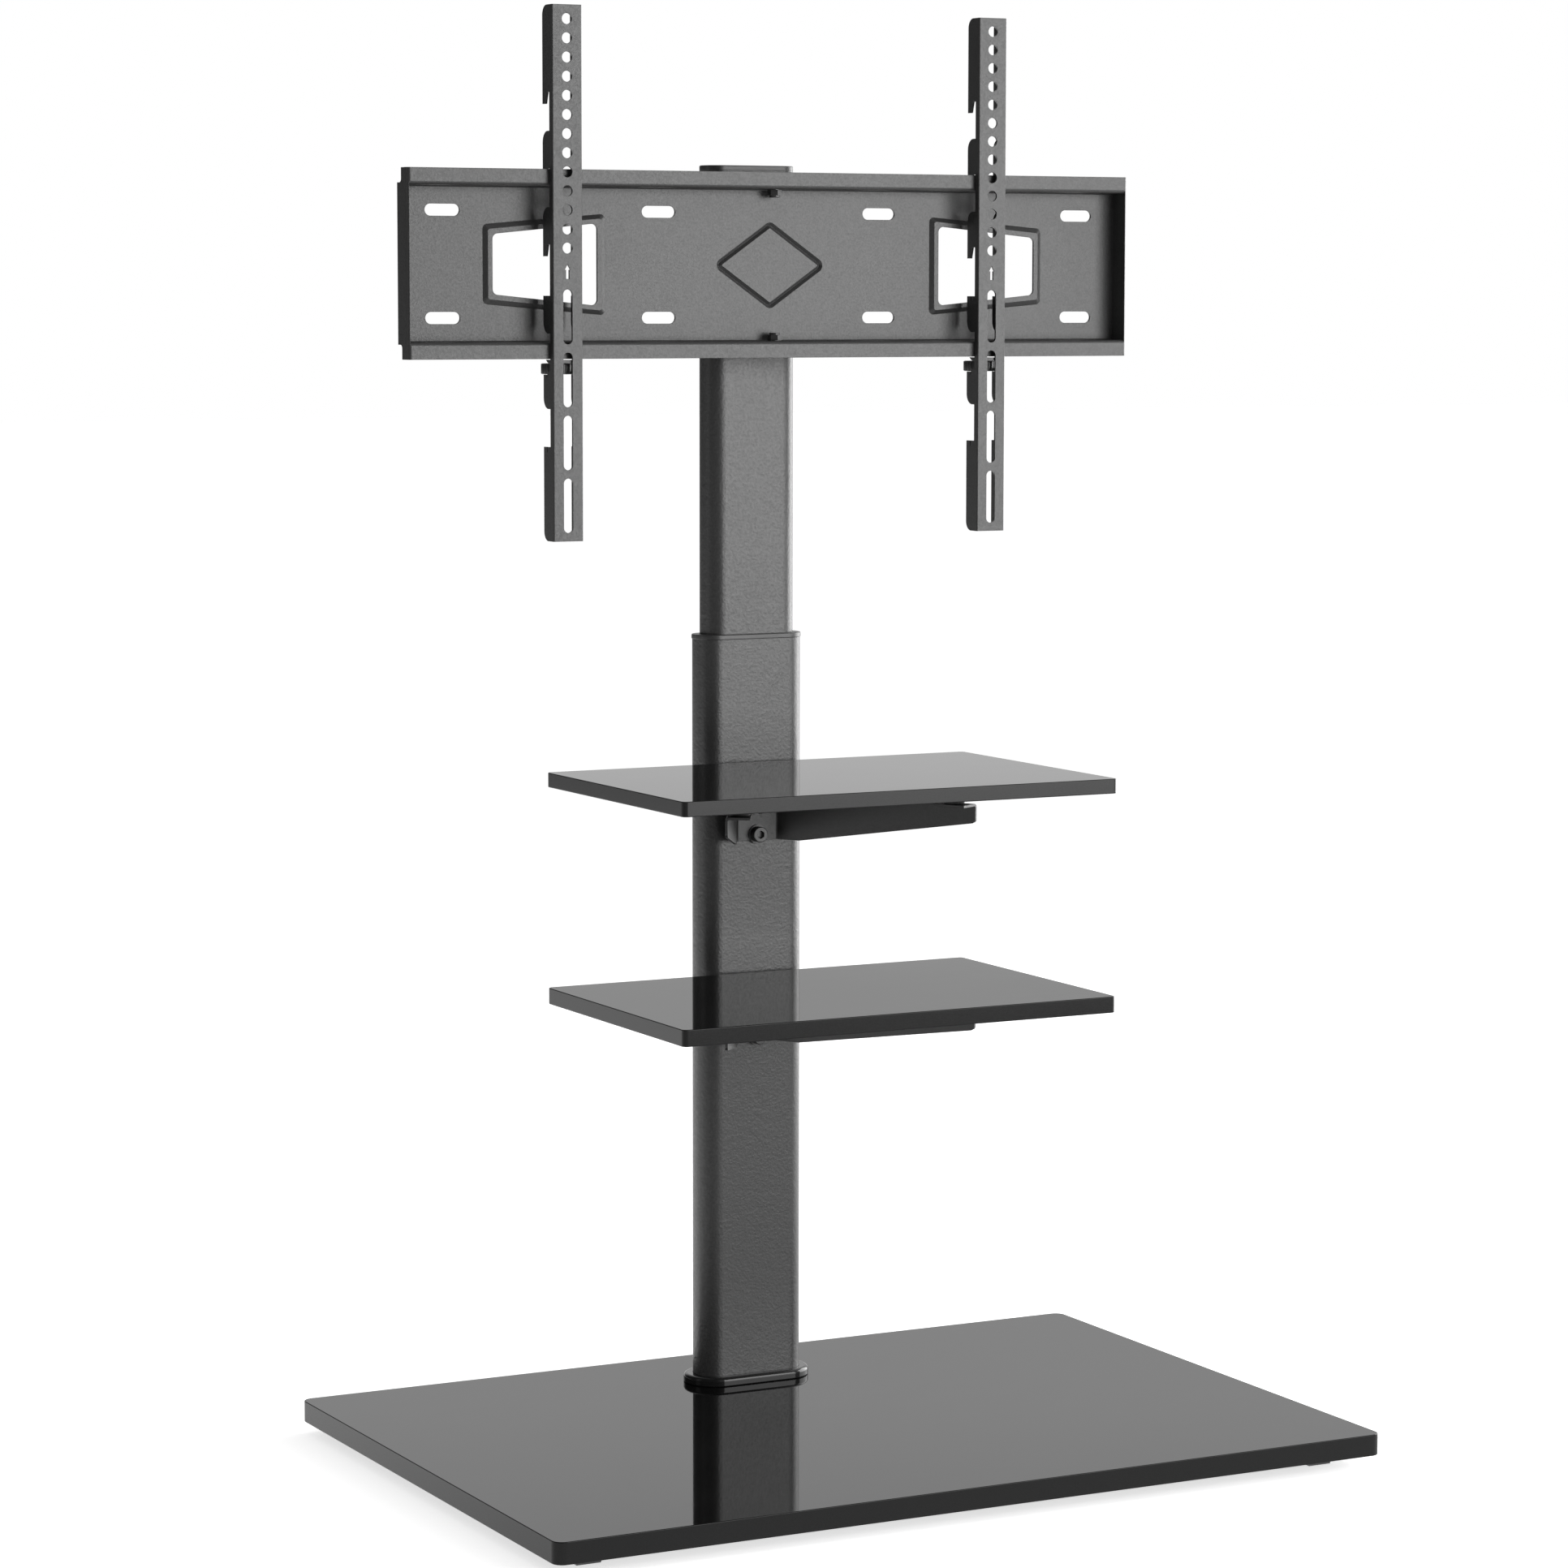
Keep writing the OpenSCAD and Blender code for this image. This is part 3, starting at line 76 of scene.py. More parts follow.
# %% [markdown]
# ## Camera
#
# The picture of the stand was taken from the left, a little above the middle of the column, with a
# long lens. A long lens far away keeps the arms nearly parallel, where a short lens would make them
# fan out. The numbers come from fitting straight edges of the boards, the column and the arms, and
# they are set as one matrix: the turn to the side, then the tilt down, then the slight roll.

# %% Camera
CAMERA_PLACE = Vector((-1.76155, -3.30821, 0.93807))
CAMERA_TURN = math.radians(-27.406)
CAMERA_TILT = math.radians(90.0 - 5.962)
CAMERA_ROLL = math.radians(0.061)
LENS_MM = 107.47
SENSOR_MM = 36.0
NEAREST, FARTHEST = 0.05, 200.0

camera_data = bpy.data.cameras.new("studio_camera")
camera_data.lens = LENS_MM
camera_data.sensor_width = SENSOR_MM
camera_data.clip_start = NEAREST
camera_data.clip_end = FARTHEST
camera = bpy.data.objects.new("studio_camera", camera_data)
bpy.context.scene.collection.objects.link(camera)
camera.matrix_world = (
    Matrix.Translation(CAMERA_PLACE)
    @ Matrix.Rotation(CAMERA_TURN, 4, "Z")
    @ Matrix.Rotation(CAMERA_TILT, 4, "X")
    @ Matrix.Rotation(CAMERA_ROLL, 4, "Z")
)
bpy.context.scene.camera = camera
print("camera at", tuple(round(v, 3) for v in CAMERA_PLACE), "lens", LENS_MM, "mm")

# %% [markdown]
# ## A short way to write node trees
#
# Every finish below is a tree of shader nodes. Written out in full, each node takes five lines, so a
# few helpers keep the trees readable. `feed` gives a socket a value or a link, and `put` adds one node
# and feeds its inputs by name. `maths`, `remap` and `mix_colours` add the nodes that are used most.
# `blank_group` opens a node group with named sockets, and `blank_material` opens a material that
# already holds the Principled shader and the output.

# %% Helpers for shader nodes
def feed(tree, socket, value):
    if isinstance(value, bpy.types.NodeSocket):
        tree.links.new(value, socket)
    else:
        socket.default_value = value


def put(tree, kind, inputs=None, **settings):
    made = tree.nodes.new(kind)
    for name, value in settings.items():
        setattr(made, name, value)
    for name, value in (inputs or {}).items():
        feed(tree, made.inputs[name], value)
    return made


def maths(tree, operation, *values, clamp=False):
    made = put(tree, "ShaderNodeMath", operation=operation, use_clamp=clamp)
    for index, value in enumerate(values):
        feed(tree, made.inputs[index], value)
    return made.outputs[0]


def remap(tree, value, low, high, to_low=0.0, to_high=1.0):
    made = put(tree, "ShaderNodeMapRange", {
        "Value": value, "From Min": low, "From Max": high, "To Min": to_low, "To Max": to_high})
    return made.outputs["Result"]


def mix_colours(tree, factor, first, second, blend="MIX"):
    made = put(tree, "ShaderNodeMix", data_type="RGBA", blend_type=blend)
    for name, value in (("Factor_Float", factor), ("A_Color", first), ("B_Color", second)):
        feed(tree, next(s for s in made.inputs if s.identifier == name), value)
    return next(s for s in made.outputs if s.identifier == "Result_Color")


def noise(tree, place, scale, detail, roughness=0.5, distortion=0.0):
    made = put(tree, "ShaderNodeTexNoise", {
        "Vector": place, "Scale": scale, "Detail": detail, "Roughness": roughness,
        "Distortion": distortion})
    return made.outputs["Fac"]


def grey_tint(tree, shade):
    made = put(tree, "ShaderNodeCombineColor", {"Red": shade, "Green": shade, "Blue": shade})
    return made.outputs["Color"]


def blank_group(name, inputs, outputs):
    tree = bpy.data.node_groups.new(name, "ShaderNodeTree")
    for socket_name, kind, value in inputs:
        socket = tree.interface.new_socket(socket_name, in_out="INPUT", socket_type=kind)
        socket.default_value = value
    for socket_name, kind in outputs:
        tree.interface.new_socket(socket_name, in_out="OUTPUT", socket_type=kind)
    return tree, tree.nodes.new("NodeGroupInput").outputs, tree.nodes.new("NodeGroupOutput").inputs


def blank_material(name):
    material = bpy.data.materials.new(name)
    material.use_nodes = True
    tree = material.node_tree
    shader = next(n for n in tree.nodes if n.type == "BSDF_PRINCIPLED")
    return material, tree, shader


def material_surface(tree):
    return next(n for n in tree.nodes if n.type == "OUTPUT_MATERIAL").inputs["Surface"]


def grey(value):
    return (value, value, value, 1.0)


# Nearly every value of a noise lies in this range.
NOISE = (0.3, 0.7)
FLOAT, COLOUR, VECTOR = "NodeSocketFloat", "NodeSocketColor", "NodeSocketVector"
print("helpers ready")

# %% [markdown]
# ## Studio
#
# The stand is shown on white. Turning the lamps up until the floor burns out would also bleach the
# black paint, so the white comes from the floor and the surroundings themselves: they glow a little,
# but only for rays that come from the camera or from a mirror. The lamps stay gentle. The floor is
# still a real surface under the lamps, so the stand keeps a soft shadow to stand on. From below it is
# clear, so that the undersides of the shelves and the base can be looked at too.
#
# What black paint and black glass show is mostly their surroundings. So the mirrored surroundings are
# shaped like a real studio: bright behind the stand, dimmer in front of it, and nearly dark on the
# left, with a floor that is bright close to the stand and fades with distance. Their shade also
# changes with height: the stops run from the horizon at 0 to straight up at 1.

# %% Surroundings
world = bpy.data.worlds.new("white_studio")
bpy.context.scene.world = world
world.use_nodes = True
AMBIENT = 0.42
FRONT_DIM = 0.45
LEFT_DIM = 0.05
FRONT_TO_BACK = (-0.5, 0.2)
LEFT_TO_RIGHT = (-0.30, 0.15)
HORIZON_SHADES = ((0.0, 0.78), (0.10, 0.77), (0.146, 0.62), (0.235, 0.90), (0.6, 0.85))


def build_world(tree):
    tree.nodes.clear()
    path = put(tree, "ShaderNodeLightPath")
    seen = put(tree, "ShaderNodeBackground", {"Color": grey(1.0), "Strength": 1.0})
    facing = put(tree, "ShaderNodeTexCoord").outputs["Generated"]
    facing = put(tree, "ShaderNodeSeparateXYZ", {"Vector": facing}).outputs
    shades = put(tree, "ShaderNodeValToRGB", {"Fac": facing["Z"]})
    ramp = shades.color_ramp.elements
    while len(ramp) < len(HORIZON_SHADES):
        ramp.new(0.5)
    for stop, (height, shade) in zip(ramp, HORIZON_SHADES):
        stop.position = height
        stop.color = grey(shade)
    behind = remap(tree, facing["Y"], *FRONT_TO_BACK, FRONT_DIM, 1.0)
    beside = remap(tree, facing["X"], *LEFT_TO_RIGHT, LEFT_DIM, 1.0)
    level = maths(tree, "MULTIPLY", behind, beside)
    mirrored = put(tree, "ShaderNodeBackground", {"Color": shades.outputs[0], "Strength": level})
    soft = put(tree, "ShaderNodeBackground", {"Color": grey(1.0), "Strength": AMBIENT})
    glossy = put(tree, "ShaderNodeMixShader", {"Fac": path.outputs["Is Glossy Ray"]})
    tree.links.new(soft.outputs[0], glossy.inputs[1])
    tree.links.new(mirrored.outputs[0], glossy.inputs[2])
    camera_first = put(tree, "ShaderNodeMixShader", {"Fac": path.outputs["Is Camera Ray"]})
    tree.links.new(glossy.outputs[0], camera_first.inputs[1])
    tree.links.new(seen.outputs[0], camera_first.inputs[2])
    end = put(tree, "ShaderNodeOutputWorld")
    tree.links.new(camera_first.outputs[0], end.inputs["Surface"])


build_world(world.node_tree)
bpy.context.scene.view_settings.view_transform = "Standard"
print("surroundings: ambient", AMBIENT, "front", FRONT_DIM, "shades by height", HORIZON_SHADES)

# %% Floor
FLOOR_HALF = 30.0
FLOOR_SHADE, FLOOR_ROUGHNESS = 0.86, 0.9
FLOOR_GLOW = 0.66
MIRRORED_NEAR, MIRRORED_FAR = 1.45, 0.0
FADE_START, FADE_END = 2.0, 8.5
MIRRORED_FRONT = 0.42
FRONT_DEPTH, BACK_DEPTH = -0.6, 0.4


def build_floor():
    mesh = bpy.data.meshes.new("studio_floor")
    corners = [(-1, -1), (1, -1), (1, 1), (-1, 1)]
    mesh.from_pydata([(x * FLOOR_HALF, y * FLOOR_HALF, 0.0) for x, y in corners], [], [(0, 1, 2, 3)])
    floor = bpy.data.objects.new("studio_floor", mesh)
    bpy.context.scene.collection.objects.link(floor)
    material, tree, shader = blank_material("Pale studio floor")
    shader.inputs["Base Color"].default_value = grey(FLOOR_SHADE)
    shader.inputs["Roughness"].default_value = FLOOR_ROUGHNESS
    path = put(tree, "ShaderNodeLightPath")
    seen = maths(tree, "MULTIPLY", path.outputs["Is Camera Ray"], FLOOR_GLOW)
    glow = put(tree, "ShaderNodeEmission", {"Color": grey(1.0), "Strength": seen})
    both = put(tree, "ShaderNodeAddShader")
    tree.links.new(shader.outputs[0], both.inputs[0])
    tree.links.new(glow.outputs[0], both.inputs[1])
    spot = put(tree, "ShaderNodeTexCoord").outputs["Object"]
    away = put(tree, "ShaderNodeVectorMath", {0: spot}, operation="LENGTH").outputs["Value"]
    fade = remap(tree, away, FADE_START, FADE_END, MIRRORED_NEAR, MIRRORED_FAR)
    depth = put(tree, "ShaderNodeSeparateXYZ", {"Vector": spot}).outputs["Y"]
    behind = remap(tree, depth, FRONT_DEPTH, BACK_DEPTH, MIRRORED_FRONT, 1.0)
    fade = maths(tree, "MULTIPLY", fade, behind)
    mirrored = put(tree, "ShaderNodeEmission", {"Color": grey(1.0), "Strength": fade})
    chosen = put(tree, "ShaderNodeMixShader", {"Fac": path.outputs["Is Glossy Ray"]})
    tree.links.new(both.outputs[0], chosen.inputs[1])
    tree.links.new(mirrored.outputs[0], chosen.inputs[2])
    from_below = put(tree, "ShaderNodeNewGeometry").outputs["Backfacing"]
    open_below = put(tree, "ShaderNodeMixShader", {"Fac": from_below})
    tree.links.new(chosen.outputs[0], open_below.inputs[1])
    tree.links.new(put(tree, "ShaderNodeBsdfTransparent").outputs[0], open_below.inputs[2])
    tree.links.new(open_below.outputs[0], material_surface(tree))
    mesh.materials.append(material)
    return floor


floor = build_floor()
floor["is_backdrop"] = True
print("floor:", 2 * FLOOR_HALF, "m square")

# %% [markdown]
# Three soft lamps light the stand. The large one stands in front and to the right, and its mirror
# image gives the front faces their mid grey, which fades towards the foot. A second large one on the
# right draws the bright line down the round side of the column. A faint one on the left keeps the
# arms' sides from going fully black.

# %% Lamps
def lamp(name, place, aim, size, power):
    data = bpy.data.lights.new(name, "AREA")
    data.shape = "RECTANGLE"
    data.size, data.size_y = size
    data.energy = power
    made = bpy.data.objects.new(name, data)
    bpy.context.scene.collection.objects.link(made)
    turn = (Vector(aim) - Vector(place)).to_track_quat("-Z", "Y")
    made.matrix_world = Matrix.Translation(place) @ turn.to_matrix().to_4x4()
    print("lamp", name, "at", place, "power", power)


lamp("front_lamp", place=(1.38, -2.56, 1.08), aim=(0.0, 0.1, 0.96), size=(2.0, 1.9), power=52.0)
lamp("right_lamp", place=(2.5, 0.3, 0.95), aim=(0.0, 0.1, 0.85), size=(2.6, 2.1), power=80.0)
lamp("left_lamp", place=(-2.6, 0.2, 1.2), aim=(0.0, 0.1, 0.6), size=(0.8, 1.6), power=1.0)

# %% [markdown]
# ## Shared surface effects
#
# The finishes below are put together from four effects, and each of these is a node group that is
# built once.
#
# *Powder coat.* Powder paint melts into a skin with a fine orange-peel grain. Two noise patterns make
# it: a coarse one for the waves and a fine one for the grain. Both drive the height, and the fine one
# also shifts the colour and the roughness a little, because the tops of the grains are shinier. A
# third, broad as a hand, shifts the colour by two per cent, as the coat is never equally thick.

# %% Powder coat group
WAVES_TO_GRAIN = 0.35
GRAIN_HEIGHT, WAVE_HEIGHT = 0.6, 0.35
CLOUD_SHADES = (0.98, 1.02)


def powder_coat_group():
    tree, given, result = blank_group("Powder coat", [
        ("Colour", COLOUR, grey(0.1)), ("Grain size", FLOAT, 0.8), ("Speckle", FLOAT, 0.2),
        ("Roughness", FLOAT, 0.45), ("Roughness spread", FLOAT, 0.1),
    ], [("Colour", COLOUR), ("Roughness", FLOAT), ("Height", FLOAT)])
    place = put(tree, "ShaderNodeTexCoord").outputs["Object"]
    scale = maths(tree, "DIVIDE", 1.0 / MM, given["Grain size"])
    fine = noise(tree, place, scale, detail=2.0, roughness=0.55)
    waves = noise(tree, place, maths(tree, "MULTIPLY", scale, WAVES_TO_GRAIN), detail=1.0)
    clouds = noise(tree, place, scale=9.0, detail=3.0)
    grain = remap(tree, fine, *NOISE)
    shade = maths(tree, "MULTIPLY_ADD", maths(tree, "SUBTRACT", grain, 0.5), given["Speckle"], 1.0)
    shade = maths(tree, "MULTIPLY", shade, remap(tree, clouds, *NOISE, *CLOUD_SHADES))
    colour = mix_colours(tree, 1.0, given["Colour"], grey_tint(tree, shade), "MULTIPLY")
    rough = maths(tree, "MULTIPLY_ADD", maths(tree, "SUBTRACT", 0.5, grain), given["Roughness spread"],
                  given["Roughness"])
    height = maths(tree, "MULTIPLY", fine, GRAIN_HEIGHT)
    height = maths(tree, "MULTIPLY_ADD", waves, WAVE_HEIGHT, height)
    tree.links.new(colour, result["Colour"])
    tree.links.new(rough, result["Roughness"])
    tree.links.new(height, result["Height"])
    return tree


powder_coat = powder_coat_group()
print("group:", powder_coat.name)

# %% [markdown]
# *Worn edges.* Paint pulls back from a sharp edge, and hands and boxes polish it further, so edges
# look paler. The Bevel node gives the normal that a rounded edge would have. Where that differs from
# the face's own normal there is an edge, and a noise breaks the line up so it doesn't look drawn.

# %% Worn edges group
FLAT_TO_EDGE = (0.995, 0.86)
BREAKS = (0.38, 0.62, 0.25, 1.0)


def worn_edges_group():
    tree, given, result = blank_group("Worn edges", [
        ("Width", FLOAT, 1.0), ("Amount", FLOAT, 0.5),
    ], [("Mask", FLOAT), ("Normal", VECTOR)])
    place = put(tree, "ShaderNodeTexCoord").outputs["Object"]
    face = put(tree, "ShaderNodeNewGeometry").outputs["Normal"]
    width = maths(tree, "MULTIPLY", given["Width"], MM)
    rounded = put(tree, "ShaderNodeBevel", {"Radius": width}, samples=4).outputs["Normal"]
    meet = put(tree, "ShaderNodeVectorMath", {0: rounded, 1: face}, operation="DOT_PRODUCT")
    edge = remap(tree, meet.outputs["Value"], *FLAT_TO_EDGE)
    breaks = remap(tree, noise(tree, place, scale=180.0, detail=3.0), *BREAKS)
    mask = maths(tree, "MULTIPLY", edge, breaks)
    tree.links.new(maths(tree, "MULTIPLY", mask, given["Amount"], clamp=True), result["Mask"])
    tree.links.new(rounded, result["Normal"])
    return tree


worn_edges = worn_edges_group()
print("group:", worn_edges.name)

# %% [markdown]
# *Dust and handling marks.* A little dust settles on whatever faces up, and hands leave patches that
# are duller than the rest. Both are kept faint: the stand is new.

# %% Dust and handling group
FACING_UP = (0.6, 0.98)
DRIFTS = (0.4, 0.7)
SPECKS = (0.5, 0.66, 0.15, 1.0)
PATCHES = (0.5, 0.68)


def handling_group():
    tree, given, result = blank_group("Dust and handling", [
        ("Dust", FLOAT, 0.1), ("Smudge", FLOAT, 0.05),
    ], [("Dust mask", FLOAT), ("Roughness change", FLOAT)])
    coords = put(tree, "ShaderNodeTexCoord").outputs
    place = coords["Object"]
    up = put(tree, "ShaderNodeSeparateXYZ", {"Vector": coords["Normal"]}).outputs["Z"]
    specks = remap(tree, noise(tree, place, scale=700.0, detail=2.0), *SPECKS)
    drift = remap(tree, noise(tree, place, scale=14.0, detail=4.0), *DRIFTS)
    patch = remap(tree, noise(tree, place, scale=22.0, detail=5.0, distortion=1.2), *PATCHES)
    settled = maths(tree, "MULTIPLY", remap(tree, up, *FACING_UP), drift)
    settled = maths(tree, "MULTIPLY", settled, specks)
    tree.links.new(maths(tree, "MULTIPLY", settled, given["Dust"], clamp=True), result["Dust mask"])
    tree.links.new(maths(tree, "MULTIPLY", patch, given["Smudge"]), result["Roughness change"])
    return tree


handling = handling_group()
print("group:", handling.name)

# %% [markdown]
# *Drawn metal.* Screws and pins are turned or drawn, which leaves fine lines round or along them. A
# noise that is squeezed in one direction gives such lines. The plating over it is mottled grey.

# %% Drawn metal group
ALONG_LINES = (0.15, 0.15, 1.0)
PLATING_SHADES = (0.85, 1.1)
LINE_ROUGHNESS = 0.16


def drawn_metal_group():
    tree, given, result = blank_group("Drawn metal", [
        ("Colour", COLOUR, grey(0.5)), ("Line spacing", FLOAT, 0.25), ("Roughness", FLOAT, 0.3),
    ], [("Colour", COLOUR), ("Roughness", FLOAT), ("Height", FLOAT)])
    place = put(tree, "ShaderNodeTexCoord").outputs["Object"]
    squeezed = put(tree, "ShaderNodeMapping", {"Vector": place, "Scale": ALONG_LINES})
    scale = maths(tree, "DIVIDE", 1.0 / MM, given["Line spacing"])
    lines = noise(tree, squeezed.outputs[0], scale, detail=1.0)
    shade = remap(tree, noise(tree, place, scale=600.0, detail=3.0), *NOISE, *PLATING_SHADES)
    colour = mix_colours(tree, 1.0, given["Colour"], grey_tint(tree, shade), "MULTIPLY")
    smoothest = maths(tree, "SUBTRACT", given["Roughness"], LINE_ROUGHNESS / 2)
    rough = maths(tree, "MULTIPLY_ADD", lines, LINE_ROUGHNESS, smoothest)
    tree.links.new(colour, result["Colour"])
    tree.links.new(rough, result["Roughness"])
    tree.links.new(lines, result["Height"])
    return tree


drawn_metal = drawn_metal_group()
print("group:", drawn_metal.name)

# %% [markdown]
# ## Painted steel
#
# The tubes, brackets, plate and arms are all steel under black powder paint, yet they aren't alike:
# the tubes have a coarse, leathery grain, the pressed sheet a finer and flatter one. One function
# writes the material and takes those differences as named values. The worn edge shows a paler,
# thinner paint, not bare metal. Lengths are in millimetres.

# %% Coated finish
COAT_SPECULAR = 0.8
COAT_DUST_SHADE = 0.35


def group_node(tree, group, inputs):
    return put(tree, "ShaderNodeGroup", inputs, node_tree=group).outputs


def finish_surface(tree, shader, colour, roughness, height, strength, depth, normal=None):
    bump = put(tree, "ShaderNodeBump", {"Height": height, "Strength": strength, "Distance": depth})
    if normal is not None:
        tree.links.new(normal, bump.inputs["Normal"])
    tree.links.new(colour, shader.inputs["Base Color"])
    tree.links.new(roughness, shader.inputs["Roughness"])
    tree.links.new(bump.outputs[0], shader.inputs["Normal"])


def coated(name, shade, worn_shade, grain, depth, speckle, roughness, edge, wear, dust,
           spread=0.1, smudge=0.01, specular=COAT_SPECULAR):
    material, tree, shader = blank_material(name)
    shader.inputs["Specular IOR Level"].default_value = specular
    coat = group_node(tree, powder_coat, {
        "Colour": grey(shade), "Grain size": grain, "Speckle": speckle, "Roughness": roughness,
        "Roughness spread": spread})
    edges = group_node(tree, worn_edges, {"Width": edge, "Amount": wear})
    marks = group_node(tree, handling, {"Dust": dust, "Smudge": smudge})
    worn = mix_colours(tree, edges["Mask"], coat["Colour"], grey(worn_shade))
    dusty = mix_colours(tree, marks["Dust mask"], worn, grey(COAT_DUST_SHADE))
    rough = maths(tree, "ADD", coat["Roughness"], marks["Roughness change"])
    finish_surface(tree, shader, dusty, rough, coat["Height"], strength=1.0, depth=depth * MM,
                   normal=edges["Normal"])
    return material


print("coated finish ready")

# %% Painted steel
tube_paint = coated("Satin tube paint", shade=0.032, worn_shade=0.08, grain=2.3, depth=0.34,
                    speckle=0.3, roughness=0.36, edge=0.6, wear=0.3, dust=0.05)
plate_paint = coated("Grained plate paint", shade=0.030, worn_shade=0.08, grain=1.6, depth=0.18,
                     speckle=0.3, roughness=0.39, edge=0.5, wear=0.3, dust=0.05)
# The brackets' black paint is set at half the shade of the other parts' paint. That is painted shade
# for the wings, which stand in the shelves' shadow.
bracket_paint = coated("Matt bracket paint", shade=0.016, worn_shade=0.07, grain=1.6, depth=0.10,
                       speckle=0.25, roughness=0.40, edge=0.6, wear=0.3, dust=0.02)
hidden_paint = coated("Black primer", shade=0.03, worn_shade=0.06, grain=0.8, depth=0.02,
                      speckle=0.3, roughness=0.55, edge=0.6, wear=0.5, dust=0.05)
black_screw = coated("Black oxide screw", shade=0.03, worn_shade=0.12, grain=0.4, depth=0.006,
                     speckle=0.3, roughness=0.34, edge=0.4, wear=0.7, dust=0.1)
print("painted steels: 5")

# %% [markdown]
# ## Boards
#
# The base and the shelves are boards with a mirror-black top, satin cut edges and a dull underside.
# These finishes meet at the edges of one solid, so the material decides by height: within a hair of the
# board's top face it is lacquer, below that it is the painted cut edge, where a fine fibre pattern
# still shows, and within a hair of the bottom face it is the dull foil that closes the board. The
# lacquer keeps a very low roughness with faint wiping marks, so the column stands in a sharp
# reflection of itself.

# %% Board finish
BOARD_SPECULAR = 0.25
BOARD_HAIR = 0.35 * MM
FIBRE_STRETCH, WIPING_STRETCH = (1.0, 1.0, 3.0), (1.0, 5.0, 1.0)
LACQUER_SHADE = 0.003
LACQUER_ROUGHNESS = (0.025, 0.06)
LACQUER_DUST, LACQUER_DUST_SHADE = 0.02, 0.3
WIPES = (0.35, 0.75)
EDGE_ROUGHNESS = (0.17, 0.21)
EDGE_MOTTLE = 0.2
EDGE_BUMP, FIBRE_DEPTH = 0.5, 0.01 * MM
UNDERSIDE_ROUGHNESS = 0.8


def board_finish(name, low, high, edge_colour_and_shade):
    material, tree, shader = blank_material(name)
    shader.inputs["Specular IOR Level"].default_value = BOARD_SPECULAR
    place = put(tree, "ShaderNodeTexCoord").outputs["Object"]
    level = put(tree, "ShaderNodeSeparateXYZ", {"Vector": place}).outputs["Z"]
    top = maths(tree, "GREATER_THAN", level, high - BOARD_HAIR)
    under = maths(tree, "LESS_THAN", level, low + BOARD_HAIR)
    fibre_space = put(tree, "ShaderNodeMapping", {"Vector": place, "Scale": FIBRE_STRETCH})
    fibres = noise(tree, fibre_space.outputs[0], scale=900.0, detail=3.0, roughness=0.55)
    wiping_space = put(tree, "ShaderNodeMapping", {"Vector": place, "Scale": WIPING_STRETCH})
    wiping = noise(tree, wiping_space.outputs[0], scale=16.0, detail=6.0, distortion=0.6)
    # The edge colour holds painted shade as well as the edges' black; the fibre mottle spreads round
    # it.
    edge_shades = ((1 - EDGE_MOTTLE) * edge_colour_and_shade, (1 + EDGE_MOTTLE) * edge_colour_and_shade)
    edge = grey_tint(tree, remap(tree, fibres, *NOISE, *edge_shades))
    body = mix_colours(tree, top, edge, grey(LACQUER_SHADE))
    marks = group_node(tree, handling, {"Dust": LACQUER_DUST, "Smudge": 0.0})
    dust = maths(tree, "MULTIPLY", marks["Dust mask"], top)
    dusty = mix_colours(tree, dust, body, grey(LACQUER_DUST_SHADE))
    mirror = remap(tree, wiping, *WIPES, *LACQUER_ROUGHNESS)
    satin = remap(tree, fibres, *NOISE, *EDGE_ROUGHNESS)
    below_top = put(tree, "ShaderNodeMix", {"Factor": under, "A": satin, "B": UNDERSIDE_ROUGHNESS})
    rough = put(tree, "ShaderNodeMix", {"Factor": top, "A": below_top.outputs[0], "B": mirror})
    height = maths(tree, "MULTIPLY", fibres, maths(tree, "SUBTRACT", 1.0, top))
    finish_surface(tree, shader, dusty, rough.outputs[0], height, EDGE_BUMP, FIBRE_DEPTH)
    return material


# Each board's cut edges get their own shade, lighter the higher the board stands. This is painted shade
# for the light that falls off towards the foot, laid over the edges' own black.
board_looks = {
    "base_board": ("Lacquered base", 0.012),
    "shelf_upper": ("Lacquered upper shelf", 0.016),
    "shelf_lower": ("Lacquered lower shelf", 0.014),
}
board_materials = {}
for node, (title, edge_colour_and_shade) in board_looks.items():
    bottom, top = (corner[2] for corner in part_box(node))
    board_materials[node] = board_finish(title, bottom, top, edge_colour_and_shade)
    print(title, "from", round(bottom / MM, 2), "to", round(top / MM, 2), "mm")

# %% [markdown]
# ## Plastics, rubber and plain metal
#
# Moulded plastic copies the spark-eroded texture of its mould, a fine even grain. The trim at the foot
# is polished instead and has only a faint waviness. The rubber pads are dull and slightly dusty. The
# screws that go into the boards, the pivot bolts, the pins and the hidden nuts are zinc plated.

# %% Plastics and rubber
WORN_GAIN, WORN_LIFT = 2.0, 0.02


def moulded(name, shade, roughness, grain, depth, dust, specular=0.5):
    worn_shade = min(1.0, shade * WORN_GAIN + WORN_LIFT)
    return coated(name, shade, worn_shade, grain, depth, speckle=0.12, roughness=roughness, edge=0.5,
                  wear=0.2, dust=dust, spread=0.06, smudge=0.04, specular=specular)


black_plastic = moulded("Black moulded plastic", shade=0.03, roughness=0.36, grain=0.6, depth=0.010,
                        dust=0.05, specular=COAT_SPECULAR)
gloss_plastic = moulded("Polished black trim", shade=0.012, roughness=0.09, grain=3.0, depth=0.003,
                        dust=0.04)
nylon = moulded("Natural nylon", shade=0.55, roughness=0.4, grain=0.8, depth=0.01, dust=0.0)
pad_rubber = moulded("Black pad rubber", shade=0.018, roughness=0.68, grain=0.35, depth=0.012,
                     dust=0.15)
print("plastics and rubber: 4")

# %% Zinc-plated steel
ZINC_BLUE = 1.03
LINE_BUMP, LINE_DEPTH = 0.5, 0.01 * MM


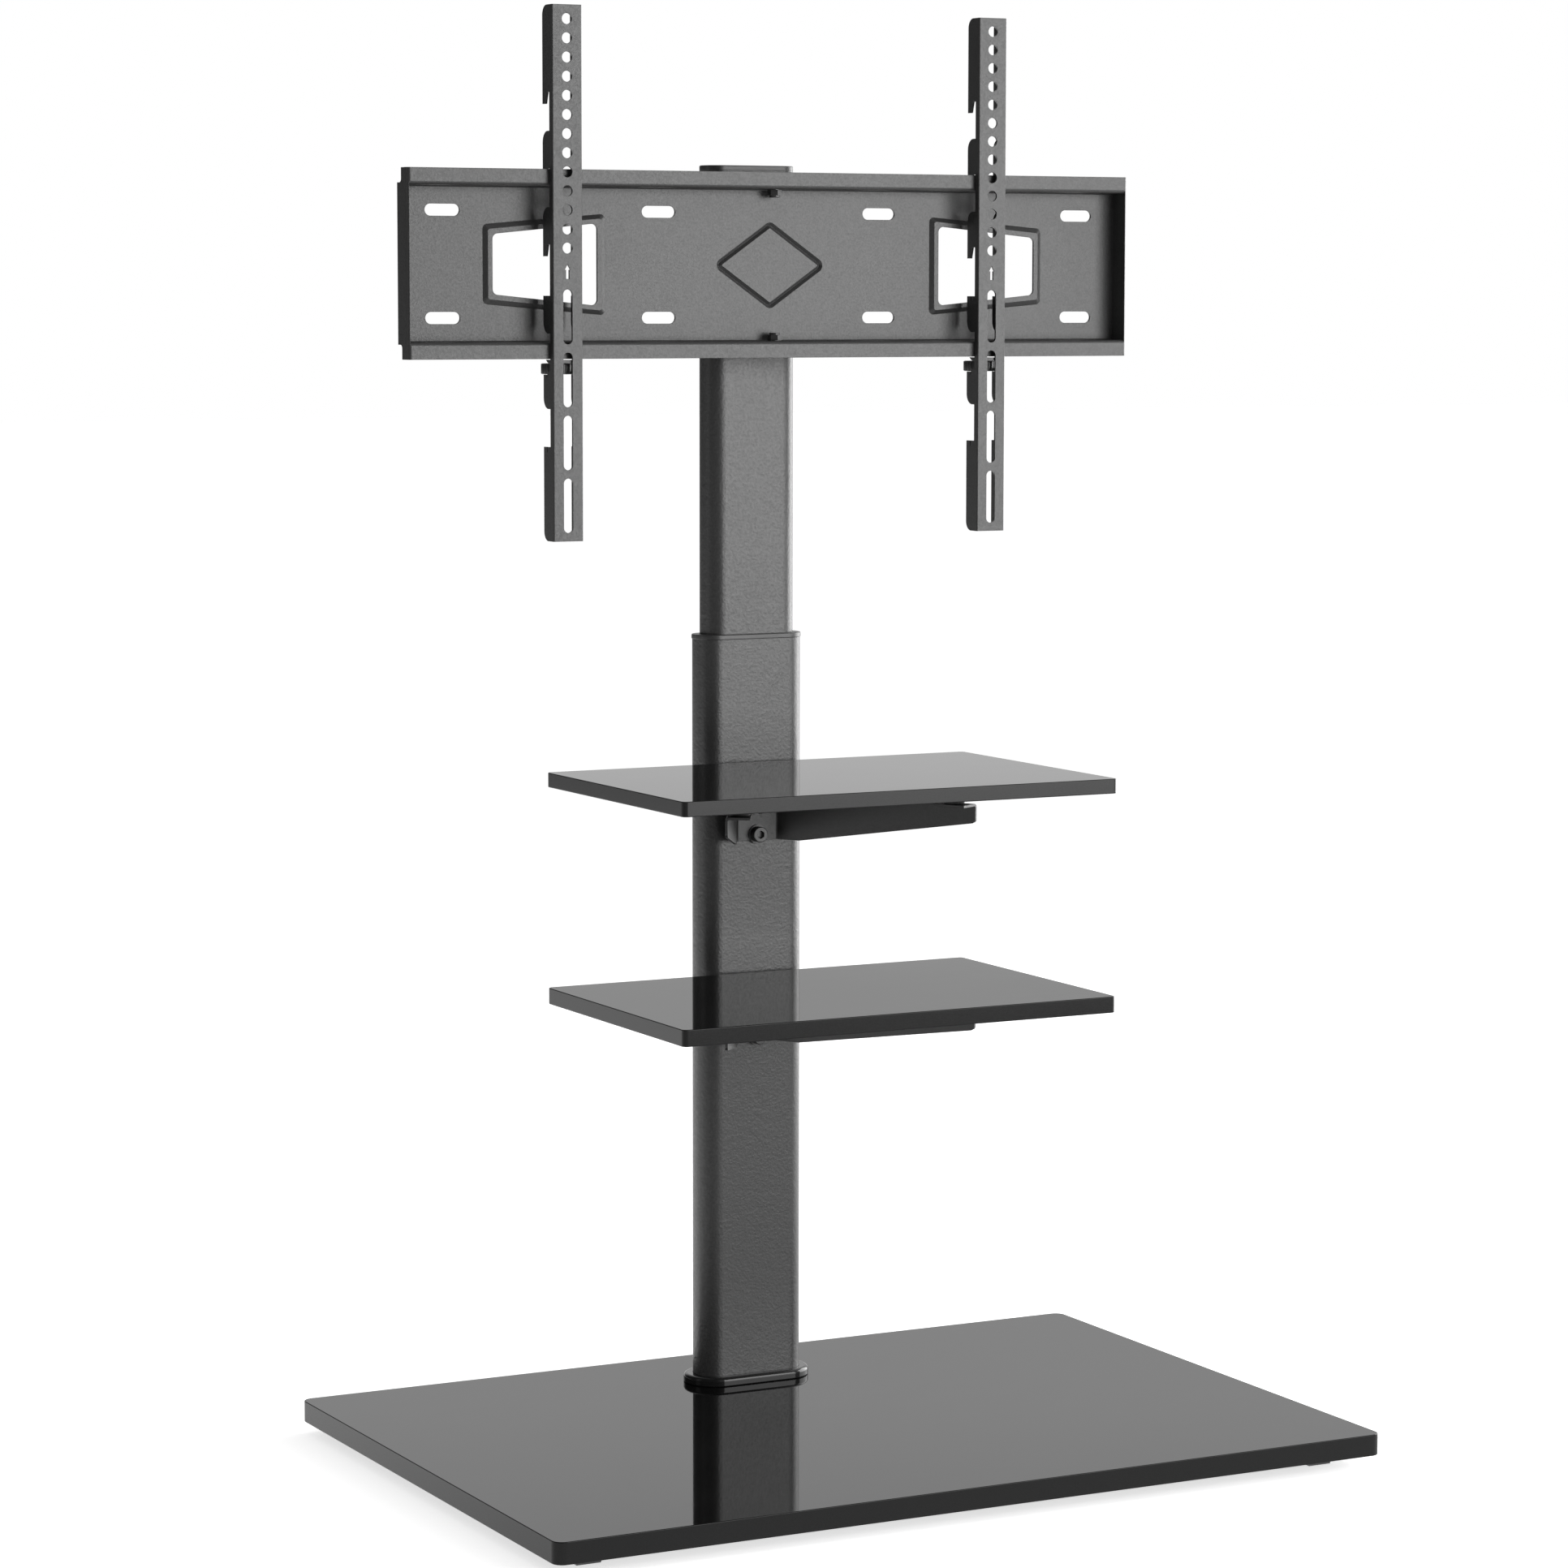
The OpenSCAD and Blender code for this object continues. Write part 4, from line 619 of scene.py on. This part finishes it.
def zinc_plated(name, shade, roughness):
    material, tree, shader = blank_material(name)
    shader.inputs["Metallic"].default_value = 1.0
    colour = (shade, shade, shade * ZINC_BLUE, 1.0)
    drawn = group_node(tree, drawn_metal, {"Colour": colour, "Roughness": roughness})
    finish_surface(tree, shader, drawn["Colour"], drawn["Roughness"], drawn["Height"],
                   LINE_BUMP, LINE_DEPTH)
    return material


zinc = zinc_plated("Zinc-plated steel", shade=0.52, roughness=0.32)
print("plated metals: 1")

# %% [markdown]
# ## Dressing the solids
#
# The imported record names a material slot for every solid. One table turns slots into finishes, so
# pieces of one kind always match, and the three boards get their own.

# %% Dress the solids
finish_of_slot = {
    "plastic": black_plastic, "glide_plastic": nylon, "gloss_trim": gloss_plastic, "zinc_steel": zinc,
    "black_steel": black_screw, "raw_steel": hidden_paint, "tube_paint": tube_paint,
    "bracket_paint": bracket_paint, "mount_paint": plate_paint, "pad_rubber": pad_rubber,
}
slot_of = {s["node"]: s["material_slot"] for s in frame["record"]["subparts"]}
for name, solid in solids.items():
    finish = board_materials.get(name) or finish_of_slot[slot_of[name]]
    if not solid.material_slots:
        solid.data.materials.append(finish)
    for entry in solid.material_slots:
        entry.material = finish
print("dressed:", len(solids), "solids")

# %% [markdown]
# ## Thumb wheels
#
# Each arm has a small ribbed wheel that locks it on the plate. The wheel is a lathe shape, with ribs
# that repeat round its rim. The lathe shape is plain mesh code. The ribs are instances on a circle of
# points, made by geometry nodes with named inputs, so their number and size are easy to change.

# %% Lathe helper
def lathe(name, profile, steps, centre):
    """Turns a list of (radius, height) points; a radius of 0 stays one point."""
    shape = bmesh.new()
    rings = []
    for radius, height in profile:
        ring = []
        for k in range(1 if radius == 0 else steps):
            angle = 2 * math.pi * k / steps
            across, deep = radius * math.cos(angle), radius * math.sin(angle)
            ring.append(shape.verts.new((centre[0] + across, centre[1] + deep, height)))
        rings.append(ring)
    for first, second in zip(rings, rings[1:]):
        for k in range(steps):
            following = k + 1
            corners = (first[k % len(first)], first[following % len(first)],
                       second[following % len(second)], second[k % len(second)])
            distinct = [v for i, v in enumerate(corners) if v not in corners[:i]]
            if len(distinct) > 2:
                shape.faces.new(distinct)
    bmesh.ops.recalc_face_normals(shape, faces=shape.faces)
    mesh = bpy.data.meshes.new(name)
    shape.to_mesh(mesh)
    shape.free()
    made = bpy.data.objects.new(name, mesh)
    bpy.context.scene.collection.objects.link(made)
    return made


def settle(piece, smooth_degrees):
    """Turns a piece with modifiers into a plain mesh with none."""
    bpy.context.view_layer.update()
    graph = bpy.context.evaluated_depsgraph_get()
    mesh = bpy.data.meshes.new_from_object(piece.evaluated_get(graph))
    piece.modifiers.clear()
    piece.data = mesh
    mesh.shade_smooth()
    mesh.set_sharp_from_angle(angle=math.radians(smooth_degrees))
    return piece


print("lathe ready")

# %% [markdown]
# The wheel's ribs, and further down the thread on the pins, come from geometry node trees, so the
# steps that such trees share are written once. A tree takes the turned body and a few named values. It
# ends by joining the body with the detail, turning every instance into real mesh and giving the whole
# one finish. A modifier's input is set by its socket's identifier, which is looked up by name here.

# %% Helpers for geometry nodes
def blank_geometry_tree(name, sockets):
    tree = bpy.data.node_groups.new(name, "GeometryNodeTree")
    add = tree.interface.new_socket
    add("Geometry", in_out="INPUT", socket_type="NodeSocketGeometry")
    for socket_name, kind, value in sockets:
        made = add(socket_name, in_out="INPUT", socket_type=kind)
        if value is not None:
            made.default_value = value
    add("Finish", in_out="INPUT", socket_type="NodeSocketMaterial")
    add("Geometry", in_out="OUTPUT", socket_type="NodeSocketGeometry")
    return tree, tree.nodes.new("NodeGroupInput").outputs, tree.nodes.new("NodeGroupOutput").inputs


def end_tree(tree, given, result, detail):
    joined = put(tree, "GeometryNodeJoinGeometry")
    for part in (given["Geometry"], detail):
        tree.links.new(part, joined.inputs[0])
    real = put(tree, "GeometryNodeRealizeInstances", {"Geometry": joined.outputs[0]})
    dressed = put(tree, "GeometryNodeSetMaterial", {
        "Geometry": real.outputs[0], "Material": given["Finish"]})
    tree.links.new(dressed.outputs[0], result["Geometry"])


def add_tree(piece, name, tree, inputs):
    modifier = piece.modifiers.new(name, "NODES")
    modifier.node_group = tree
    sockets = [s for s in tree.interface.items_tree if s.item_type == "SOCKET" and s.in_out == "INPUT"]
    for socket in sockets:
        if socket.name in inputs:
            modifier[socket.identifier] = inputs[socket.name]


print("geometry node helpers ready")

# %% Ribs round a wheel
RIB_SIDES = 14


def ribbed_tree():
    tree, given, result = blank_geometry_tree("Ribs round a rim", [
        ("Ribs", "NodeSocketInt", 26), ("Rim radius", FLOAT, 13.6 * MM),
        ("Rib radius", FLOAT, 0.9 * MM), ("Rib length", FLOAT, 6.2 * MM), ("Centre", VECTOR, None),
    ])
    ring = maths(tree, "SUBTRACT", given["Rim radius"], given["Rib radius"])
    points = put(tree, "GeometryNodeMeshCircle", {"Vertices": given["Ribs"], "Radius": ring})
    rib = put(tree, "GeometryNodeMeshCylinder", {
        "Vertices": RIB_SIDES, "Radius": given["Rib radius"], "Depth": given["Rib length"]})
    copies = put(tree, "GeometryNodeInstanceOnPoints", {
        "Points": points.outputs[0], "Instance": rib.outputs[0]})
    placed = put(tree, "GeometryNodeTransform", {
        "Geometry": copies.outputs[0], "Translation": given["Centre"]})
    end_tree(tree, given, result, placed.outputs[0])
    return tree


ribs_round_rim = ribbed_tree()
print("geometry nodes:", ribs_round_rim.name)

# %% Thumb wheels
WHEEL_RIBS = 26
RIB_RADIUS = 0.85 * MM
CORE_INSET = 0.55 * MM
WHEEL_BORE = 3.2 * MM
WHEEL_ROUND, ROUND_STEPS = 0.5 * MM, 6
RIB_INSET = 0.8 * WHEEL_ROUND
DISH_DEPTH, DISH_FLOOR_SHARE, DISH_RIM_SHARE = 0.5 * MM, 0.62, 0.7
WHEEL_STEPS, WHEEL_SMOOTH = 96, 45
EASE_WIDTH, EASE_ANGLE = 0.22 * MM, 50


def middle_of(low, high):
    return tuple((a + b) / 2 for a, b in zip(low, high))


def wheel_profile(low, high, rim):
    core = rim - CORE_INSET
    angles = [math.radians(90 / ROUND_STEPS * k) for k in range(ROUND_STEPS + 1)]
    lower = [(core - WHEEL_ROUND + WHEEL_ROUND * math.sin(a), low + WHEEL_ROUND * (1 - math.cos(a)))
             for a in angles]
    upper = [(radius, low + high - height) for radius, height in reversed(lower)]
    dish_floor, dish_rim = core * DISH_FLOOR_SHARE, core * DISH_RIM_SHARE
    dish_low = [(WHEEL_BORE, low + DISH_DEPTH), (dish_floor, low + DISH_DEPTH), (dish_rim, low)]
    dish_high = [(dish_rim, high), (dish_floor, high - DISH_DEPTH), (WHEEL_BORE, high - DISH_DEPTH)]
    return dish_low + lower + upper + dish_high + dish_low[:1]


def thumb_wheel(side):
    low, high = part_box(f"lock_wheel_{side}")
    centre = middle_of(low, high)
    rim = (high[0] - low[0]) / 2
    wheel = lathe(f"thumb_wheel_{side}", wheel_profile(low[2], high[2], rim), WHEEL_STEPS, centre)
    add_tree(wheel, "ribs", ribs_round_rim, {
        "Ribs": WHEEL_RIBS, "Rim radius": rim, "Rib radius": RIB_RADIUS,
        "Rib length": high[2] - low[2] - 2 * RIB_INSET, "Centre": centre, "Finish": black_plastic})
    ease = wheel.modifiers.new("ease", "BEVEL")
    ease.width = EASE_WIDTH
    ease.segments = 2
    ease.limit_method = "ANGLE"
    ease.angle_limit = math.radians(EASE_ANGLE)
    settle(wheel, WHEEL_SMOOTH)
    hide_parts(f"lock_wheel_{side}")
    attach(wheel, f"{side}_wheel")
    return wheel


for side in ("left", "right"):
    made = thumb_wheel(side)
    print(made.name, "faces", len(made.data.polygons))

# %% [markdown]
# ## Lock pins
#
# The wheel is a nut, and turning it raises a threaded pin behind the plate's lower lip. The thread is
# a helix: a spiral curve with a diamond section runs round a plain rod. Its pitch is one millimetre,
# which is also what the wheel's motion is set to, so eight turns lower the pin by eight millimetres.

# %% Thread on a rod
STEPS_PER_TURN, RIDGE_SIDES = 28, 4


def thread_tree():
    tree, given, result = blank_geometry_tree("Thread on a rod", [
        ("Turns", FLOAT, 16.0), ("Thread radius", FLOAT, 2.6 * MM), ("Ridge", FLOAT, 0.4 * MM),
        ("Length", FLOAT, 16 * MM), ("Start", VECTOR, None),
    ])
    helix = put(tree, "GeometryNodeCurveSpiral", {
        "Resolution": STEPS_PER_TURN, "Rotations": given["Turns"], "Height": given["Length"],
        "Start Radius": given["Thread radius"], "End Radius": given["Thread radius"]})
    section = put(tree, "GeometryNodeCurvePrimitiveCircle", {
        "Resolution": RIDGE_SIDES, "Radius": given["Ridge"]})
    ridge = put(tree, "GeometryNodeCurveToMesh", {
        "Curve": helix.outputs[0], "Profile Curve": section.outputs[0], "Fill Caps": True})
    placed = put(tree, "GeometryNodeTransform", {
        "Geometry": ridge.outputs[0], "Translation": given["Start"]})
    end_tree(tree, given, result, placed.outputs[0])
    return tree


thread_on_rod = thread_tree()
print("geometry nodes:", thread_on_rod.name)

# %% Lock pins
THREAD_PITCH = 1.0 * MM
RIDGE = 0.40 * MM
ROOT_INSET = 0.6 * MM
FOOT_CHAMFER = 0.4 * MM
TIP_LENGTH, TIP_INSET, TIP_DOME = 1.0 * MM, 0.5 * MM, 0.15 * MM
THREAD_ABOVE_FOOT, THREAD_BELOW_TIP = 0.6 * MM, 1.3 * MM
PIN_STEPS, PIN_SMOOTH = 40, 30


def pin_profile(low, high, root):
    foot = [(0.0, low), (root - FOOT_CHAMFER, low), (root, low + FOOT_CHAMFER)]
    return foot + [(root, high - TIP_LENGTH), (root - TIP_INSET, high - TIP_DOME), (0.0, high)]


def lock_pin(side):
    low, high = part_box(f"lock_pin_{side}")
    centre = middle_of(low, high)
    radius = (high[0] - low[0]) / 2
    profile = pin_profile(low[2], high[2], radius - ROOT_INSET)
    pin = lathe(f"threaded_pin_{side}", profile, PIN_STEPS, centre)
    start = low[2] + THREAD_ABOVE_FOOT
    length = high[2] - THREAD_BELOW_TIP - start
    add_tree(pin, "thread", thread_on_rod, {
        "Turns": length / THREAD_PITCH, "Thread radius": radius - RIDGE, "Ridge": RIDGE,
        "Length": length, "Start": (centre[0], centre[1], start), "Finish": zinc})
    settle(pin, PIN_SMOOTH)
    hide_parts(f"lock_pin_{side}")
    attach(pin, f"{side}_pin")
    return pin


for side in ("left", "right"):
    made = lock_pin(side)
    print(made.name, "faces", len(made.data.polygons))

# %% [markdown]
# ## Finish
#
# The dressed stand must keep the size of its solids, so both boxes are written down and compared.

# %% Compare sizes and finish
dressed_low, dressed_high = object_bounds()
growth = max(max(abs(a - b) for a, b in zip(p, q)) for p, q in
             ((solid_low, dressed_low), (solid_high, dressed_high)))
print("largest difference between the boxes, in mm:", round(growth / MM, 3))
